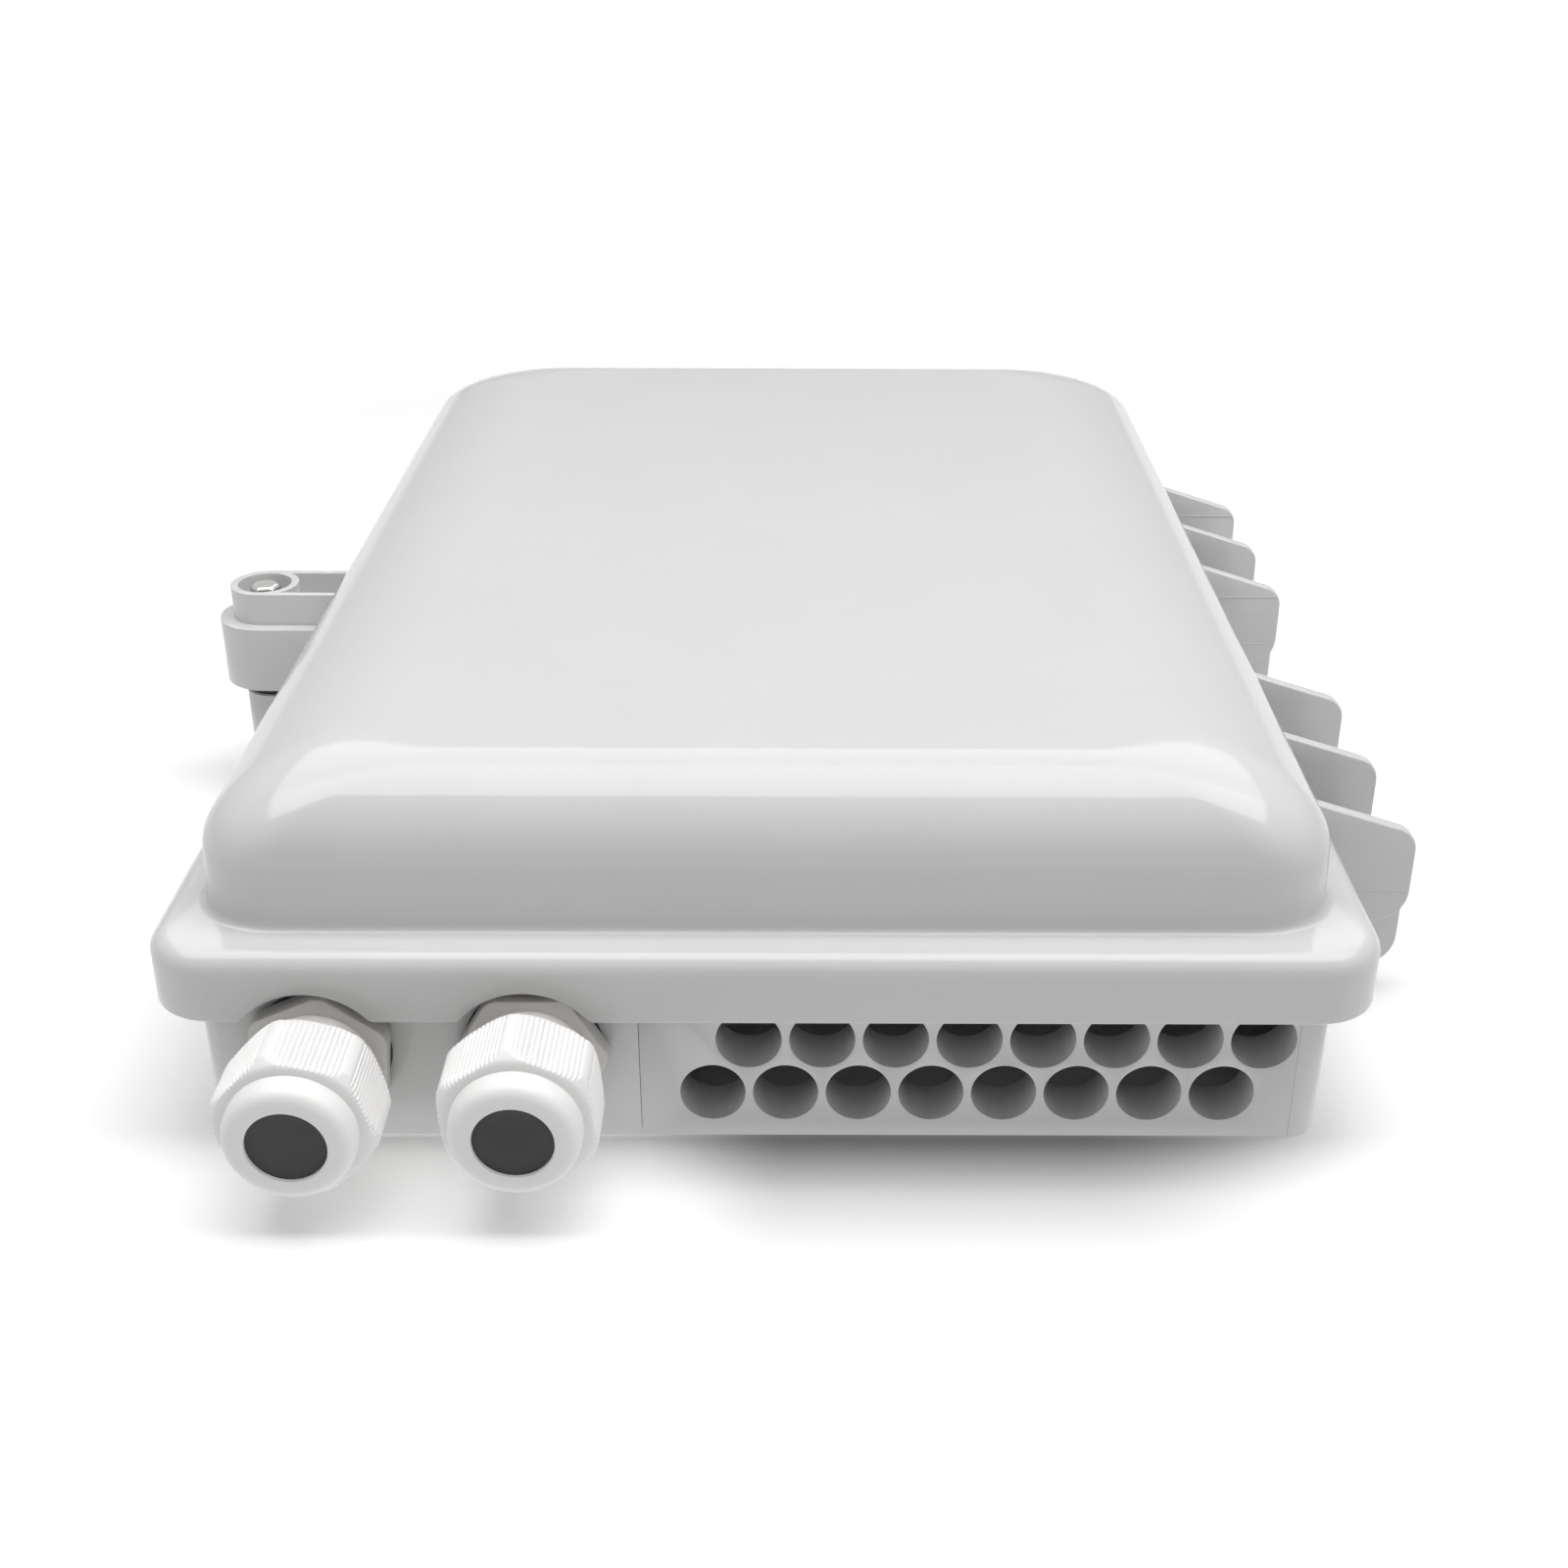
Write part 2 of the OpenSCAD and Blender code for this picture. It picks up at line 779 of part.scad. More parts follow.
// Bolt: a rounded triangular key head over a flange, a shank and a plain tip
module lock_bolt() {
    color(steel)
        translate([-lock_x, lock_y, 0]) {
            translate([0, 0, bolt_flange_z - eps])
                linear_extrude(bolt_key_z - bolt_flange_z + eps) {
                    for (a = [90, 210, 330])
                        rotate([0, 0, a])
                            translate([bolt_key_reach, 0])
                                circle(bolt_key_r);
                    circle(bolt_key_r + 0.4);
                }
            translate([0, 0, collar_floor + eps])
                cylinder(r = bolt_flange_r, h = bolt_flange_z - collar_floor - eps);
            translate([0, 0, clip_z + clip_t + eps])
                cylinder(r = bolt_r, h = collar_floor - clip_z - clip_t);
            translate([0, 0, clip_z - eps])
                cylinder(r = clip_neck_r - 0.02, h = clip_t + 3 * eps);
            translate([0, 0, clip_z - 2 * eps - 1])
                cylinder(r = bolt_r, h = 1 + eps);
            translate([0, 0, bolt_tip_z])
                cylinder(r = bolt_tip_r, h = clip_z - bolt_tip_z);
        }
}

module lock_clip() {
    color(steel)
        translate([-lock_x, lock_y, clip_z])
            difference() {
                cylinder(r = clip_r, h = clip_t);
                translate([0, 0, -1])
                    cylinder(r = clip_neck_r, h = clip_t + 2);
                translate([0, -clip_neck_r * 0.8, -1])
                    cube([clip_r + 1, clip_neck_r * 1.6, clip_t + 2]);
            }
}

// Saddle clamp that holds a feed cable behind its gland
module cable_clamp(side) {
    x = glands[side][0];
    color(inner_white)
        translate([x, clamp_y - clamp_w / 2, 0])
            difference() {
                union() {
                    box(
                        [-clamp_reach - clamp_wing, 0, clamp_seat],
                        [clamp_reach + clamp_wing, clamp_w, clamp_seat + clamp_t]
                    );
                    rod_y(0, clamp_seat + 6, clamp_arch + clamp_t, 0, clamp_w);
                }
                rod_y(0, clamp_seat + 6, clamp_arch, -1, clamp_w + 1);
                box([-20, -1, -20], [20, clamp_w + 1, clamp_seat]);
                for (s = [-1, 1])
                    translate([s * clamp_reach, clamp_w / 2, clamp_seat - 1])
                        cylinder(r = screw_r + 0.2, h = clamp_t + 2);
            }
}

module clamp_screws() {
    color(steel)
        for (g = glands, s = [-1, 1])
            screw_z(g[0] + s * clamp_reach, clamp_y, clamp_seat + clamp_t, 7);
}

// Axes of one row of adapters
function adapter_xs() = [for (k = [0:adapter_count - 1]) adapter_x0 + k * adapter_pitch];

// Upright plate with a window for each adapter and a foot screwed to the floor
module adapter_bracket() {
    color(inner_white)
        difference() {
            union() {
                box(
                    [bracket_plate_x[0], bracket_y - bracket_sheet, 6],
                    [bracket_plate_x[1], bracket_y, bracket_plate_top]
                );
                box(
                    [bracket_plate_x[0], bracket_y - bracket_sheet, 6],
                    [bracket_plate_x[1], bracket_y + bracket_flange_l, 6 + bracket_sheet]
                );
            }
            for (x = adapter_xs(), z = adapter_rows)
                box(
                    [x - adapter_w / 2 - 0.1, bracket_y - 3, z - adapter_h / 2 - 0.1],
                    [x + adapter_w / 2 + 0.1, bracket_y + 1, z + adapter_h / 2 + 0.1]
                );
            for (x = bracket_screw_x)
                translate([x, bracket_y + bracket_flange_l / 2, 0])
                    cylinder(r = screw_r + 0.2, h = 10);
        }
}

module bracket_screws() {
    color(steel)
        for (x = bracket_screw_x)
            screw_z(x, bracket_y + bracket_flange_l / 2, 6 + bracket_sheet, 6);
}

// One row of simplex adapters, their flanges behind the bracket's plate
module adapter_row(z) {
    color(adapter_green)
        for (x = adapter_xs())
            translate([x, bracket_y, z])
                difference() {
                    union() {
                        box(
                            [-adapter_w / 2, -adapter_l / 2, -adapter_h / 2],
                            [adapter_w / 2, adapter_l / 2, adapter_h / 2]
                        );
                        box(
                            [-adapter_w / 2, 0, -adapter_flange_h / 2],
                            [adapter_w / 2, adapter_flange_t, adapter_flange_h / 2]
                        );
                    }
                    for (s = [-1, 1])
                        translate([0, s * adapter_l / 2, 0])
                            cube([adapter_cavity_w, 2 * adapter_cavity_l, adapter_cavity_h], center = true);
                }
}

// Dust caps in the adapters' mouths, s is -1 at the front and 1 at the rear
module dust_caps(s) {
    color(cap_clear)
        for (x = adapter_xs(), z = adapter_rows)
            translate([x, bracket_y + s * adapter_l / 2, z])
                for (part = [
                    [
                        adapter_cavity_w - 2 * cap_gap, cap_insert_l,
                        adapter_cavity_h - 2 * cap_gap, -s * cap_insert_l / 2
                    ],
                    [adapter_w - 0.6, cap_lip, adapter_h - 1, s * (cap_lip / 2 + cap_gap)]
                ])
                    translate([0, part[3] + s * cap_gap * 2, 0])
                        cube([part[0], part[1] + 2 * cap_gap, part[2]], center = true);
}

// Tray pan with rounded corners and screw ears inside its walls
module splice_tray() {
    color(inner_white)
        translate([0, tray_y, 0])
            difference() {
                union() {
                    difference() {
                        rounded_block(tray_w / 2, tray_l / 2, tray_r, tray_z, tray_z + tray_h);
                        rounded_block(
                            tray_w / 2 - tray_t, tray_l / 2 - tray_t, tray_r - tray_t,
                            tray_z + tray_t, tray_z + tray_h + 1
                        );
                    }
                    for (sx = [-1, 1], sy = [-1, 1])
                        translate([sx * tray_post_x, sy * tray_post_y, tray_z])
                            cylinder(r = tray_post_r, h = tray_h);
                }
                for (sx = [-1, 1], sy = [-1, 1])
                    translate([sx * tray_post_x, sy * tray_post_y, tray_z - 1])
                        cylinder(r = screw_r + 0.2, h = tray_h + 2);
            }
}

// Two combs that hold splice sleeves side by side
module splice_holders() {
    color(adapter_green)
        for (s = [-1, 1])
            translate([0, tray_y + s * 34, tray_z + tray_t]) {
                box(
                    [-holder_slots * holder_pitch / 2 - holder_t / 2, -holder_l / 2, 0],
                    [holder_slots * holder_pitch / 2 + holder_t / 2, holder_l / 2, holder_t]
                );
                for (k = [0:holder_slots])
                    box(
                        [(k - holder_slots / 2) * holder_pitch - holder_t / 2, -holder_l / 2, 0],
                        [(k - holder_slots / 2) * holder_pitch + holder_t / 2, holder_l / 2, holder_h]
                    );
            }
}

// Two drums that spare fibre is wound around
module fiber_spools() {
    color(inner_white)
        for (s = [-1, 1])
            translate([s * spool_x, tray_y, tray_z + tray_t])
                difference() {
                    union() {
                        cylinder(r = spool_r, h = spool_h);
                        translate([0, 0, spool_h - spool_lip_t])
                            cylinder(r = spool_lip_r, h = spool_lip_t);
                    }
                    translate([0, 0, 1])
                        cylinder(r = spool_r - 1.6, h = spool_h);
                }
}

module tray_cover() {
    color([0.8, 0.85, 0.9, 0.35])
        translate([0, tray_y, 0])
            difference() {
                rounded_block(
                    tray_w / 2 + cover_lip, tray_l / 2 + cover_lip, tray_r + cover_lip,
                    tray_z + tray_h + eps, tray_z + tray_h + cover_t
                );
                for (sx = [-1, 1], sy = [-1, 1])
                    translate([sx * tray_post_x, sy * tray_post_y, tray_z])
                        cylinder(r = screw_r + 0.2, h = 2 * tray_h);
            }
}

module tray_screws() {
    color(steel)
        for (sx = [-1, 1], sy = [-1, 1])
            screw_z(sx * tray_post_x, tray_y + sy * tray_post_y, tray_z + tray_h + cover_t, tray_h + 8);
}

// Slotted bar that drop cables are tied to
module cable_tie_bar() {
    color(inner_white)
        difference() {
            box(
                [tie_x[0] - tie_post_w / 2, tie_y - tie_w / 2, tie_z],
                [tie_x[1] + tie_post_w / 2, tie_y + tie_w / 2, tie_z + tie_t]
            );
            for (k = [0:tie_slots - 1], s = [-1, 1])
                translate([
                    tie_x[0] + (k + 0.5) * (tie_x[1] - tie_x[0]) / tie_slots,
                    tie_y + s * tie_w / 2,
                    tie_z + tie_t / 2
                ])
                    cube([tie_slot_w, 2 * tie_slot_d, tie_t + 1], center = true);
        }
}

base_shell();
gland_panel();
drop_port_panel();
gland_body(0);  // gland_body_left
gland_body(1);  // gland_body_right
gland_washer(0);  // gland_washer_left
gland_washer(1);  // gland_washer_right
gland_seal(0);  // gland_seal_left
gland_seal(1);  // gland_seal_right
gland_plug(0);  // gland_plug_left
gland_plug(1);  // gland_plug_right
gland_locknut(0);  // gland_locknut_left
gland_locknut(1);  // gland_locknut_right
gland_nut(0);  // gland_nut_left
gland_nut(1);  // gland_nut_right
hinge_pin(rib_groups[0]);  // hinge_pin_front
hinge_pin(rib_groups[1]);  // hinge_pin_rear
lock_insert();
lock_seal();
lid();
lid_gasket();
lock_bolt();
lock_clip();
cable_clamp(0);  // cable_clamp_left
cable_clamp(1);  // cable_clamp_right
clamp_screws();
adapter_bracket();
bracket_screws();
adapter_row(adapter_rows[0]);  // adapters_lower_row
adapter_row(adapter_rows[1]);  // adapters_upper_row
dust_caps(-1);  // dust_caps_front
dust_caps(1);  // dust_caps_rear
splice_tray();
splice_holders();
fiber_spools();
tray_cover();
tray_screws();
cable_tie_bar();
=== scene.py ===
import json
import math

import bmesh
import bpy
from mathutils import Matrix, Vector


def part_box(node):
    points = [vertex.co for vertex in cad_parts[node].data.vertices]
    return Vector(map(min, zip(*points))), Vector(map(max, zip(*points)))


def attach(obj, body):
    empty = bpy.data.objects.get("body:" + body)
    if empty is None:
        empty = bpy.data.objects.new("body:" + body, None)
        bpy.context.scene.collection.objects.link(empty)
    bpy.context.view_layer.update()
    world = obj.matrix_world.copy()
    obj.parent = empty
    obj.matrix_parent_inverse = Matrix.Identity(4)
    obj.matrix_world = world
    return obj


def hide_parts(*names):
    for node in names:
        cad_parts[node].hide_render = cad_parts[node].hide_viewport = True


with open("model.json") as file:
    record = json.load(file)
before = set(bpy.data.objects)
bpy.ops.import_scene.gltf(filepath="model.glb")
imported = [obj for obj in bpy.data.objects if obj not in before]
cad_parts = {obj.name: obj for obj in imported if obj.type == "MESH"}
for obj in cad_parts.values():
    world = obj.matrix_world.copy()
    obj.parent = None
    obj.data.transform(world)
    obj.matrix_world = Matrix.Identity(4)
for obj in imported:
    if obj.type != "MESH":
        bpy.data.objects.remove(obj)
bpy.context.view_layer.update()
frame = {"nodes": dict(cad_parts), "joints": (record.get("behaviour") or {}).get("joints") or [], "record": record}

# ---------------------------------------------------------------------------
# Sizes, in metres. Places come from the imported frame; these are the details
# that a plain CAD solid leaves out.
# ---------------------------------------------------------------------------
MM = 0.001
WALL = 2.5 * MM

LID_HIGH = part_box("lid")[1]
GASKET_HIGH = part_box("lid_gasket")[1]
BASE_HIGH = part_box("base_shell")[1]
INSERT_LOW, INSERT_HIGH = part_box("lock_insert")
PIN_LOW, PIN_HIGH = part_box("hinge_pin_front")
REAR_PIN_LOW, REAR_PIN_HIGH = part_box("hinge_pin_rear")

JOINTS = {j["name"]: j for j in frame["joints"]}
MOUNTS = {m["name"]: m for m in frame["record"]["mounts"]}

# Lid: flange, shelf and dome
FLANGE_X = 107.5 * MM
FLANGE_Y = LID_HIGH.y
FLANGE_R = 12 * MM
SKIRT_Z = BASE_HIGH.z - 8.6 * MM
SHELF_Z = 40.8 * MM
SHELF_UNDER = SHELF_Z - 2.8 * MM
EDGE_ROUND = 3.5 * MM
DOME_X = FLANGE_X - 7.2 * MM
DOME_Y = FLANGE_Y - 9.3 * MM
DOME_R = 15 * MM
DOME_FOOT = 1.6 * MM
DOME_TOP = 68 * MM
DOME_ROUND = 17 * MM
DOME_ROUND_SIDE = 31 * MM
DOME_LEAN = 0.39 * MM
LIP_ROUND = 0.45 * MM
GROOVE_R = 7 * MM
GROOVE_WIDTH = 3.2 * MM
GROOVE_GAP = 0.1 * MM
ARCH_R = 14 * MM
ARCH_SOFT = 0.8 * MM
ARCH_CENTRES = ((-79.3 * MM, 19.4 * MM), (-41.6 * MM, 19.7 * MM))

# Hinge
HINGE = Vector(JOINTS["lid_hinge"]["pos_m"])
KNUCKLE_R = 7 * MM
RIB_T = 3 * MM
RIB_SLOPE = math.radians(17.56)
RIB_TOP_Z = 45.6 * MM
RIB_CORNER_R = 5 * MM
RIB_EDGE = 0.45 * MM
RIB_FRONT_GAP = 1.2 * MM
RIB_REAR_GAP = 6.2 * MM
MOULD_LINE = 0.13 * MM
RIB_LINES = ((0, 24.2 * MM), (3, 36 * MM), (3, 23.5 * MM), (5, 36 * MM))
PIN_R = 2 * MM
PIN_GAP = 0.06 * MM

# Lock
LOCK = Vector(((INSERT_LOW.x + INSERT_HIGH.x) / 2, (INSERT_LOW.y + INSERT_HIGH.y) / 2, 0))
BOSS_R = 10.96 * MM
BOSS_Z = 43.2 * MM
COLLAR_R = 7.8 * MM
COLLAR_BORE = 6.1 * MM
COLLAR_Z = 50.7 * MM
COLLAR_FLOOR = 43.6 * MM
SHANK_HOLE_R = 4.06 * MM
SEAL_POCKET_R = 7 * MM
SEAL_POCKET_DEPTH = 2.3 * MM
KEY_AF = 6.3 * MM
KEY_CORNER_R = 3.5 * MM
KEY_TURN = 12
KEY_FOOT_Z = 45 * MM
SHANK_R = 4 * MM
CLIP_GROOVE_R = 3.28 * MM
TIP_R = 2.6 * MM
BOLT_FLANGE_R = 5.9 * MM

# Glands
GLAND_SIDES = ("left", "right")
NUT_AF = 26 * MM
NUT_CORNER_R = 14.3 * MM
HEX_AF = 24 * MM
HEX_CORNER_R = 13.3 * MM
MOUTH_R = 6.85 * MM
NUT_TURN = {"left": 46, "right": 35}
HEX_TURN = {"left": 24, "right": 0}

# Camera, at the reference view's place and angle
CAMERA_AT = Vector((7.4, -435.7, 221.2)) * MM
CAMERA_PITCH = 27.07
CAMERA_YAW = 0.18
CAMERA_ROLL = 0.25
CAMERA_LENS = 45.8
CAMERA_SENSOR = 36
CAMERA_SHIFT_X = -0.0194

# Floor, and the painted shadow that it shows the camera near the box: a darkening of its colour set by place
FLOOR_SIZE = 6.0
FLOOR_DROP = 0.2 * MM
FLOOR_BOUNCE = 0.1
FLOOR_LIFT = 0.04
# The floor's glow to all rays but the camera's: a painted stand-in for light bounced off the floor onto the box
PAINTED_BOUNCE_GLOW = 0.84
FLOOR_FAR = (0.35, 1.0)
# Painted shadow on the floor's colour in front of the box: its reach in Y, its fade to the left, right and back,
# and its depth
PAINTED_SHADOW_Y = (-183 * MM, -145 * MM)
PAINTED_SHADOW_LEFT = (-30 * MM, 5 * MM)
PAINTED_SHADOW_RIGHT = (115 * MM, 55 * MM)
PAINTED_SHADOW_BACK = (0, -80 * MM)
PAINTED_SHADOW_DEPTH = 0.7

# Lights: the soft box lights the object, and the two cards under it only show as reflections
PANEL_WIDTH = 1.8
SOFT_BOX_X = 0.2
SOFT_BOX_Y = (-0.36, 0.14)
SOFT_BOX_Z = 1.0
SOFT_BOX_RADIANCE = 4.9
CARD_Z = 0.98
NEAR_CARD_Y = (-0.43, 0.33)
NEAR_CARD_RADIANCE = 2.7
FAR_CARD_Y = (0.33, 1.45)
FAR_CARD_RADIANCE = 1.4

# Room: each pair of strengths is reached at the pair of heights or depths named beside it
ROOM_LIGHT = (0.36, 0.25)
ROOM_LIGHT_Z = (0.3, 0.6)
ROOM_SHINE_FRONT = (0.2, 0.8)
ROOM_SHINE_FRONT_Y = (-0.94, -0.29)
ROOM_SHINE_BACK = (0.6, 0.9)
ROOM_SHINE_BACK_Z = (0.2, 0.47)
ROOM_BEHIND_Y = (-0.29, 0.1)


# ---------------------------------------------------------------------------
# Mesh helpers
# ---------------------------------------------------------------------------
def shade(mesh, degrees):
    """Smooth shading that breaks at edges sharper than the angle."""
    mesh.polygons.foreach_set("use_smooth", [True] * len(mesh.polygons))
    mesh.set_sharp_from_angle(angle=math.radians(degrees))


def finish_mesh(name, bm, degrees=35):
    """A linked object made from a bmesh, with its normals pointing out."""
    bmesh.ops.recalc_face_normals(bm, faces=bm.faces)
    mesh = bpy.data.meshes.new(name)
    bm.to_mesh(mesh)
    bm.free()
    shade(mesh, degrees)
    obj = bpy.data.objects.new(name, mesh)
    bpy.context.scene.collection.objects.link(obj)
    return obj


def bridge(bm, rings, closed=False):
    """Quads between neighbouring rings of vertices; closed also joins the last ring to the first."""
    pairs = list(zip(rings, rings[1:]))
    if closed:
        pairs.append((rings[-1], rings[0]))
    for a, b in pairs:
        count = len(a)
        for i in range(count):
            j = (i + 1) % count
            bm.faces.new((a[i], a[j], b[j], b[i]))


def add_ring(bm, points):
    return [bm.verts.new(p) for p in points]


def smooth_min(a, b, soft):
    """The smaller of a and b, with a rounded change-over of the given size."""
    h = max(soft - abs(a - b), 0) / soft
    return min(a, b) - h * h * soft / 4


def smooth_max(a, b, soft):
    return -smooth_min(-a, -b, soft)


def arc(centre, radius, start, end, steps):
    """Points of an arc in a plane, angles in degrees."""
    points = []
    for k in range(steps + 1):
        a = math.radians(start + (end - start) * k / steps)
        points.append((centre[0] + radius * math.cos(a), centre[1] + radius * math.sin(a)))
    return points


def inset_outline(outline, distance):
    """A closed outline moved inwards along its corners' bisectors; the outline runs anticlockwise."""
    count = len(outline)
    moved = []
    for i in range(count):
        before = Vector(outline[i - 1])
        here = Vector(outline[i])
        after = Vector(outline[(i + 1) % count])
        into = (here - before).normalized()
        out_of = (after - here).normalized()
        bisector = Vector((-into.y - out_of.y, into.x + out_of.x)).normalized()
        stretch = max(0.4, bisector.dot(Vector((-into.y, into.x))))
        moved.append(here + bisector * (distance / stretch))
    return moved


def slab(bm, outline, low, high, edge, place, steps=3):
    """A plate from an anticlockwise outline, with rounded edges; place turns (u, v, height) into a point."""
    rings = []
    for k in range(steps + 1):
        a = math.radians(90 * k / steps)
        shrunk = inset_outline(outline, edge * (1 - math.sin(a)))
        rings.append([place(p[0], p[1], low + edge * (1 - math.cos(a))) for p in shrunk])
    for k in range(steps + 1):
        a = math.radians(90 * k / steps)
        shrunk = inset_outline(outline, edge * (1 - math.cos(a)))
        rings.append([place(p[0], p[1], high - edge * (1 - math.sin(a))) for p in shrunk])
    made = [add_ring(bm, ring) for ring in rings]
    bridge(bm, made)
    bm.faces.new(made[0])
    bm.faces.new(made[-1])


def ring_about(bm, at, y, steps, radius):
    """A ring of vertices round the Y axis through at; radius is a number, or a function of the angle."""
    ring = []
    for k in range(steps):
        angle = 2 * math.pi * k / steps
        r = radius(angle) if callable(radius) else radius
        ring.append((at.x + r * math.cos(angle), y, at.z + r * math.sin(angle)))
    return add_ring(bm, ring)


def turned(bm, profile, at, steps=96):
    """A closed solid turned about the -Y axis through at; profile holds (radius, distance along -Y)."""
    rings = [ring_about(bm, at, at.y - along, steps, radius) for radius, along in profile]
    bridge(bm, rings, closed=True)


def soften(node, width, segments=2, degrees=35):
    """Rounds a CAD node's sharp edges with modifiers, which leave its own mesh as it is."""
    obj = frame["nodes"][node]
    weld = obj.modifiers.new("weld", "WELD")
    weld.merge_threshold = 0.002 * MM
    planar = obj.modifiers.new("planar", "DECIMATE")
    planar.decimate_type = "DISSOLVE"
    planar.angle_limit = math.radians(1)
    bevel = obj.modifiers.new("bevel", "BEVEL")
    bevel.width = width
    bevel.segments = segments
    bevel.limit_method = "ANGLE"
    bevel.angle_limit = math.radians(degrees)
    bevel.harden_normals = False
    bevel.use_clamp_overlap = True
    if "custom_normal" in obj.data.attributes:
        obj.data.attributes.remove(obj.data.attributes["custom_normal"])
    shade(obj.data, degrees)
    return obj


# ---------------------------------------------------------------------------
# Materials: one function builds moulded plastic and rubber, one builds metal
# ---------------------------------------------------------------------------
def node_of(tree, kind, **values):
    """A shader node with some of its inputs or settings given by name."""
    made = tree.nodes.new(kind)
    for key, value in values.items():
        name = key.replace("_", " ")
        if name in made.inputs:
            made.inputs[name].default_value = value
        else:
            setattr(made, key, value)
    return made


def noise_at(tree, coords, scale, detail=2.0, roughness=0.5):
    texture = node_of(tree, "ShaderNodeTexNoise", Scale=scale, Detail=detail, Roughness=roughness)
    tree.links.new(coords.outputs["Object"], texture.inputs["Vector"])
    return texture.outputs["Fac"]


def spread(tree, source, low, high, out_low, out_high):
    """A noise value mapped to a narrow range."""
    mapped = tree.nodes.new("ShaderNodeMapRange")
    mapped.inputs["From Min"].default_value = low
    mapped.inputs["From Max"].default_value = high
    mapped.inputs["To Min"].default_value = out_low
    mapped.inputs["To Max"].default_value = out_high
    tree.links.new(source, mapped.inputs["Value"])
    return mapped.outputs["Result"]


def times(tree, first, second):
    """The product of two values."""
    product = tree.nodes.new("ShaderNodeMath")
    product.operation = "MULTIPLY"
    tree.links.new(first, product.inputs[0])
    tree.links.new(second, product.inputs[1])
    return product.outputs[0]


def blend(tree, factor, first, second):
    """A number between two others, which are sockets or constants."""
    mix = tree.nodes.new("ShaderNodeMix")
    mix.data_type = "FLOAT"
    for value, socket in ((factor, mix.inputs[0]), (first, mix.inputs[2]), (second, mix.inputs[3])):
        if isinstance(value, (int, float)):
            socket.default_value = value
        else:
            tree.links.new(value, socket)
    return mix.outputs[0]


def shades(tree, factor, dark, light):
    """A colour between two shades, chosen by a value."""
    mix = tree.nodes.new("ShaderNodeMix")
    mix.data_type = "RGBA"
    mix.inputs["A"].default_value = (*dark, 1)
    mix.inputs["B"].default_value = (*light, 1)
    tree.links.new(factor, mix.inputs["Factor"])
    return mix.outputs["Result"]


def new_material(name):
    material = bpy.data.materials.new(name)
    material.use_nodes = True
    tree = material.node_tree
    surface = tree.nodes["Principled BSDF"]
    coords = tree.nodes.new("ShaderNodeTexCoord")
    return material, tree, surface, coords


def moulded(name, colour, rough, variation=0.02, peel=0.10, peel_scale=900, grain=0.0, grain_scale=4000,
            specular=0.5, subsurface=0.0, coat=0.0):
    """Moulded plastic or rubber: faint mottle, uneven gloss, orange peel and, where asked for, fine grain."""
    material, tree, surface, coords = new_material(name)
    mottle = noise_at(tree, coords, 35, detail=4)
    dark = [c * (1 - variation) for c in colour]
    light = [min(1, c * (1 + variation)) for c in colour]
    tint = shades(tree, spread(tree, mottle, 0.3, 0.7, 0, 1), dark, light)
    tree.links.new(tint, surface.inputs["Base Color"])
    gloss = noise_at(tree, coords, 120, detail=3)
    tree.links.new(spread(tree, gloss, 0.3, 0.7, rough * 0.9, rough * 1.12), surface.inputs["Roughness"])
    surface.inputs["Specular IOR Level"].default_value = specular
    surface.inputs["Subsurface Weight"].default_value = subsurface
    surface.inputs["Subsurface Radius"].default_value = (1, 0.95, 0.9)
    surface.inputs["Subsurface Scale"].default_value = 3 * MM
    surface.inputs["Coat Weight"].default_value = coat
    surface.inputs["Coat Roughness"].default_value = rough * 0.6
    bump = node_of(tree, "ShaderNodeBump", Strength=peel, Distance=0.05 * MM)
    tree.links.new(noise_at(tree, coords, peel_scale, detail=1), bump.inputs["Height"])
    if grain:
        fine = node_of(tree, "ShaderNodeBump", Strength=grain, Distance=0.03 * MM)
        tree.links.new(noise_at(tree, coords, grain_scale, detail=2), fine.inputs["Height"])
        tree.links.new(bump.outputs["Normal"], fine.inputs["Normal"])
        bump = fine
    tree.links.new(bump.outputs["Normal"], surface.inputs["Normal"])
    return material


def metal(name, colour, rough, scratch=0.15, stretch=(1, 1, 1)):
    """Metal with uneven gloss and fine tool marks, drawn out along one axis."""
    material, tree, surface, coords = new_material(name)
    surface.inputs["Metallic"].default_value = 1
    tint = shades(tree, noise_at(tree, coords, 60), [c * 0.93 for c in colour], colour)
    tree.links.new(tint, surface.inputs["Base Color"])
    mapping = node_of(tree, "ShaderNodeMapping", Scale=stretch)
    tree.links.new(coords.outputs["Object"], mapping.inputs["Vector"])
    marks = node_of(tree, "ShaderNodeTexNoise", Scale=900, Detail=3)
    tree.links.new(mapping.outputs["Vector"], marks.inputs["Vector"])
    tree.links.new(spread(tree, marks.outputs["Fac"], 0.3, 0.7, rough * 0.7, rough * 1.4),
                   surface.inputs["Roughness"])
    bump = node_of(tree, "ShaderNodeBump", Strength=scratch, Distance=0.01 * MM)
    tree.links.new(marks.outputs["Fac"], bump.inputs["Height"])
    tree.links.new(bump.outputs["Normal"], surface.inputs["Normal"])
    return material


def clear_plastic(name, colour, rough):
    """Clear or translucent plastic with faint flow marks."""
    material, tree, surface, coords = new_material(name)
    surface.inputs["Transmission Weight"].default_value = 0.85
    surface.inputs["IOR"].default_value = 1.5
    haze = noise_at(tree, coords, 80, detail=3)
    tint = shades(tree, haze, [c * 0.97 for c in colour], colour)
    tree.links.new(tint, surface.inputs["Base Color"])
    tree.links.new(spread(tree, haze, 0.3, 0.7, rough * 0.8, rough * 1.3), surface.inputs["Roughness"])
    bump = node_of(tree, "ShaderNodeBump", Strength=0.08, Distance=0.05 * MM)
    tree.links.new(noise_at(tree, coords, 250), bump.inputs["Height"])
    tree.links.new(bump.outputs["Normal"], surface.inputs["Normal"])
    return material


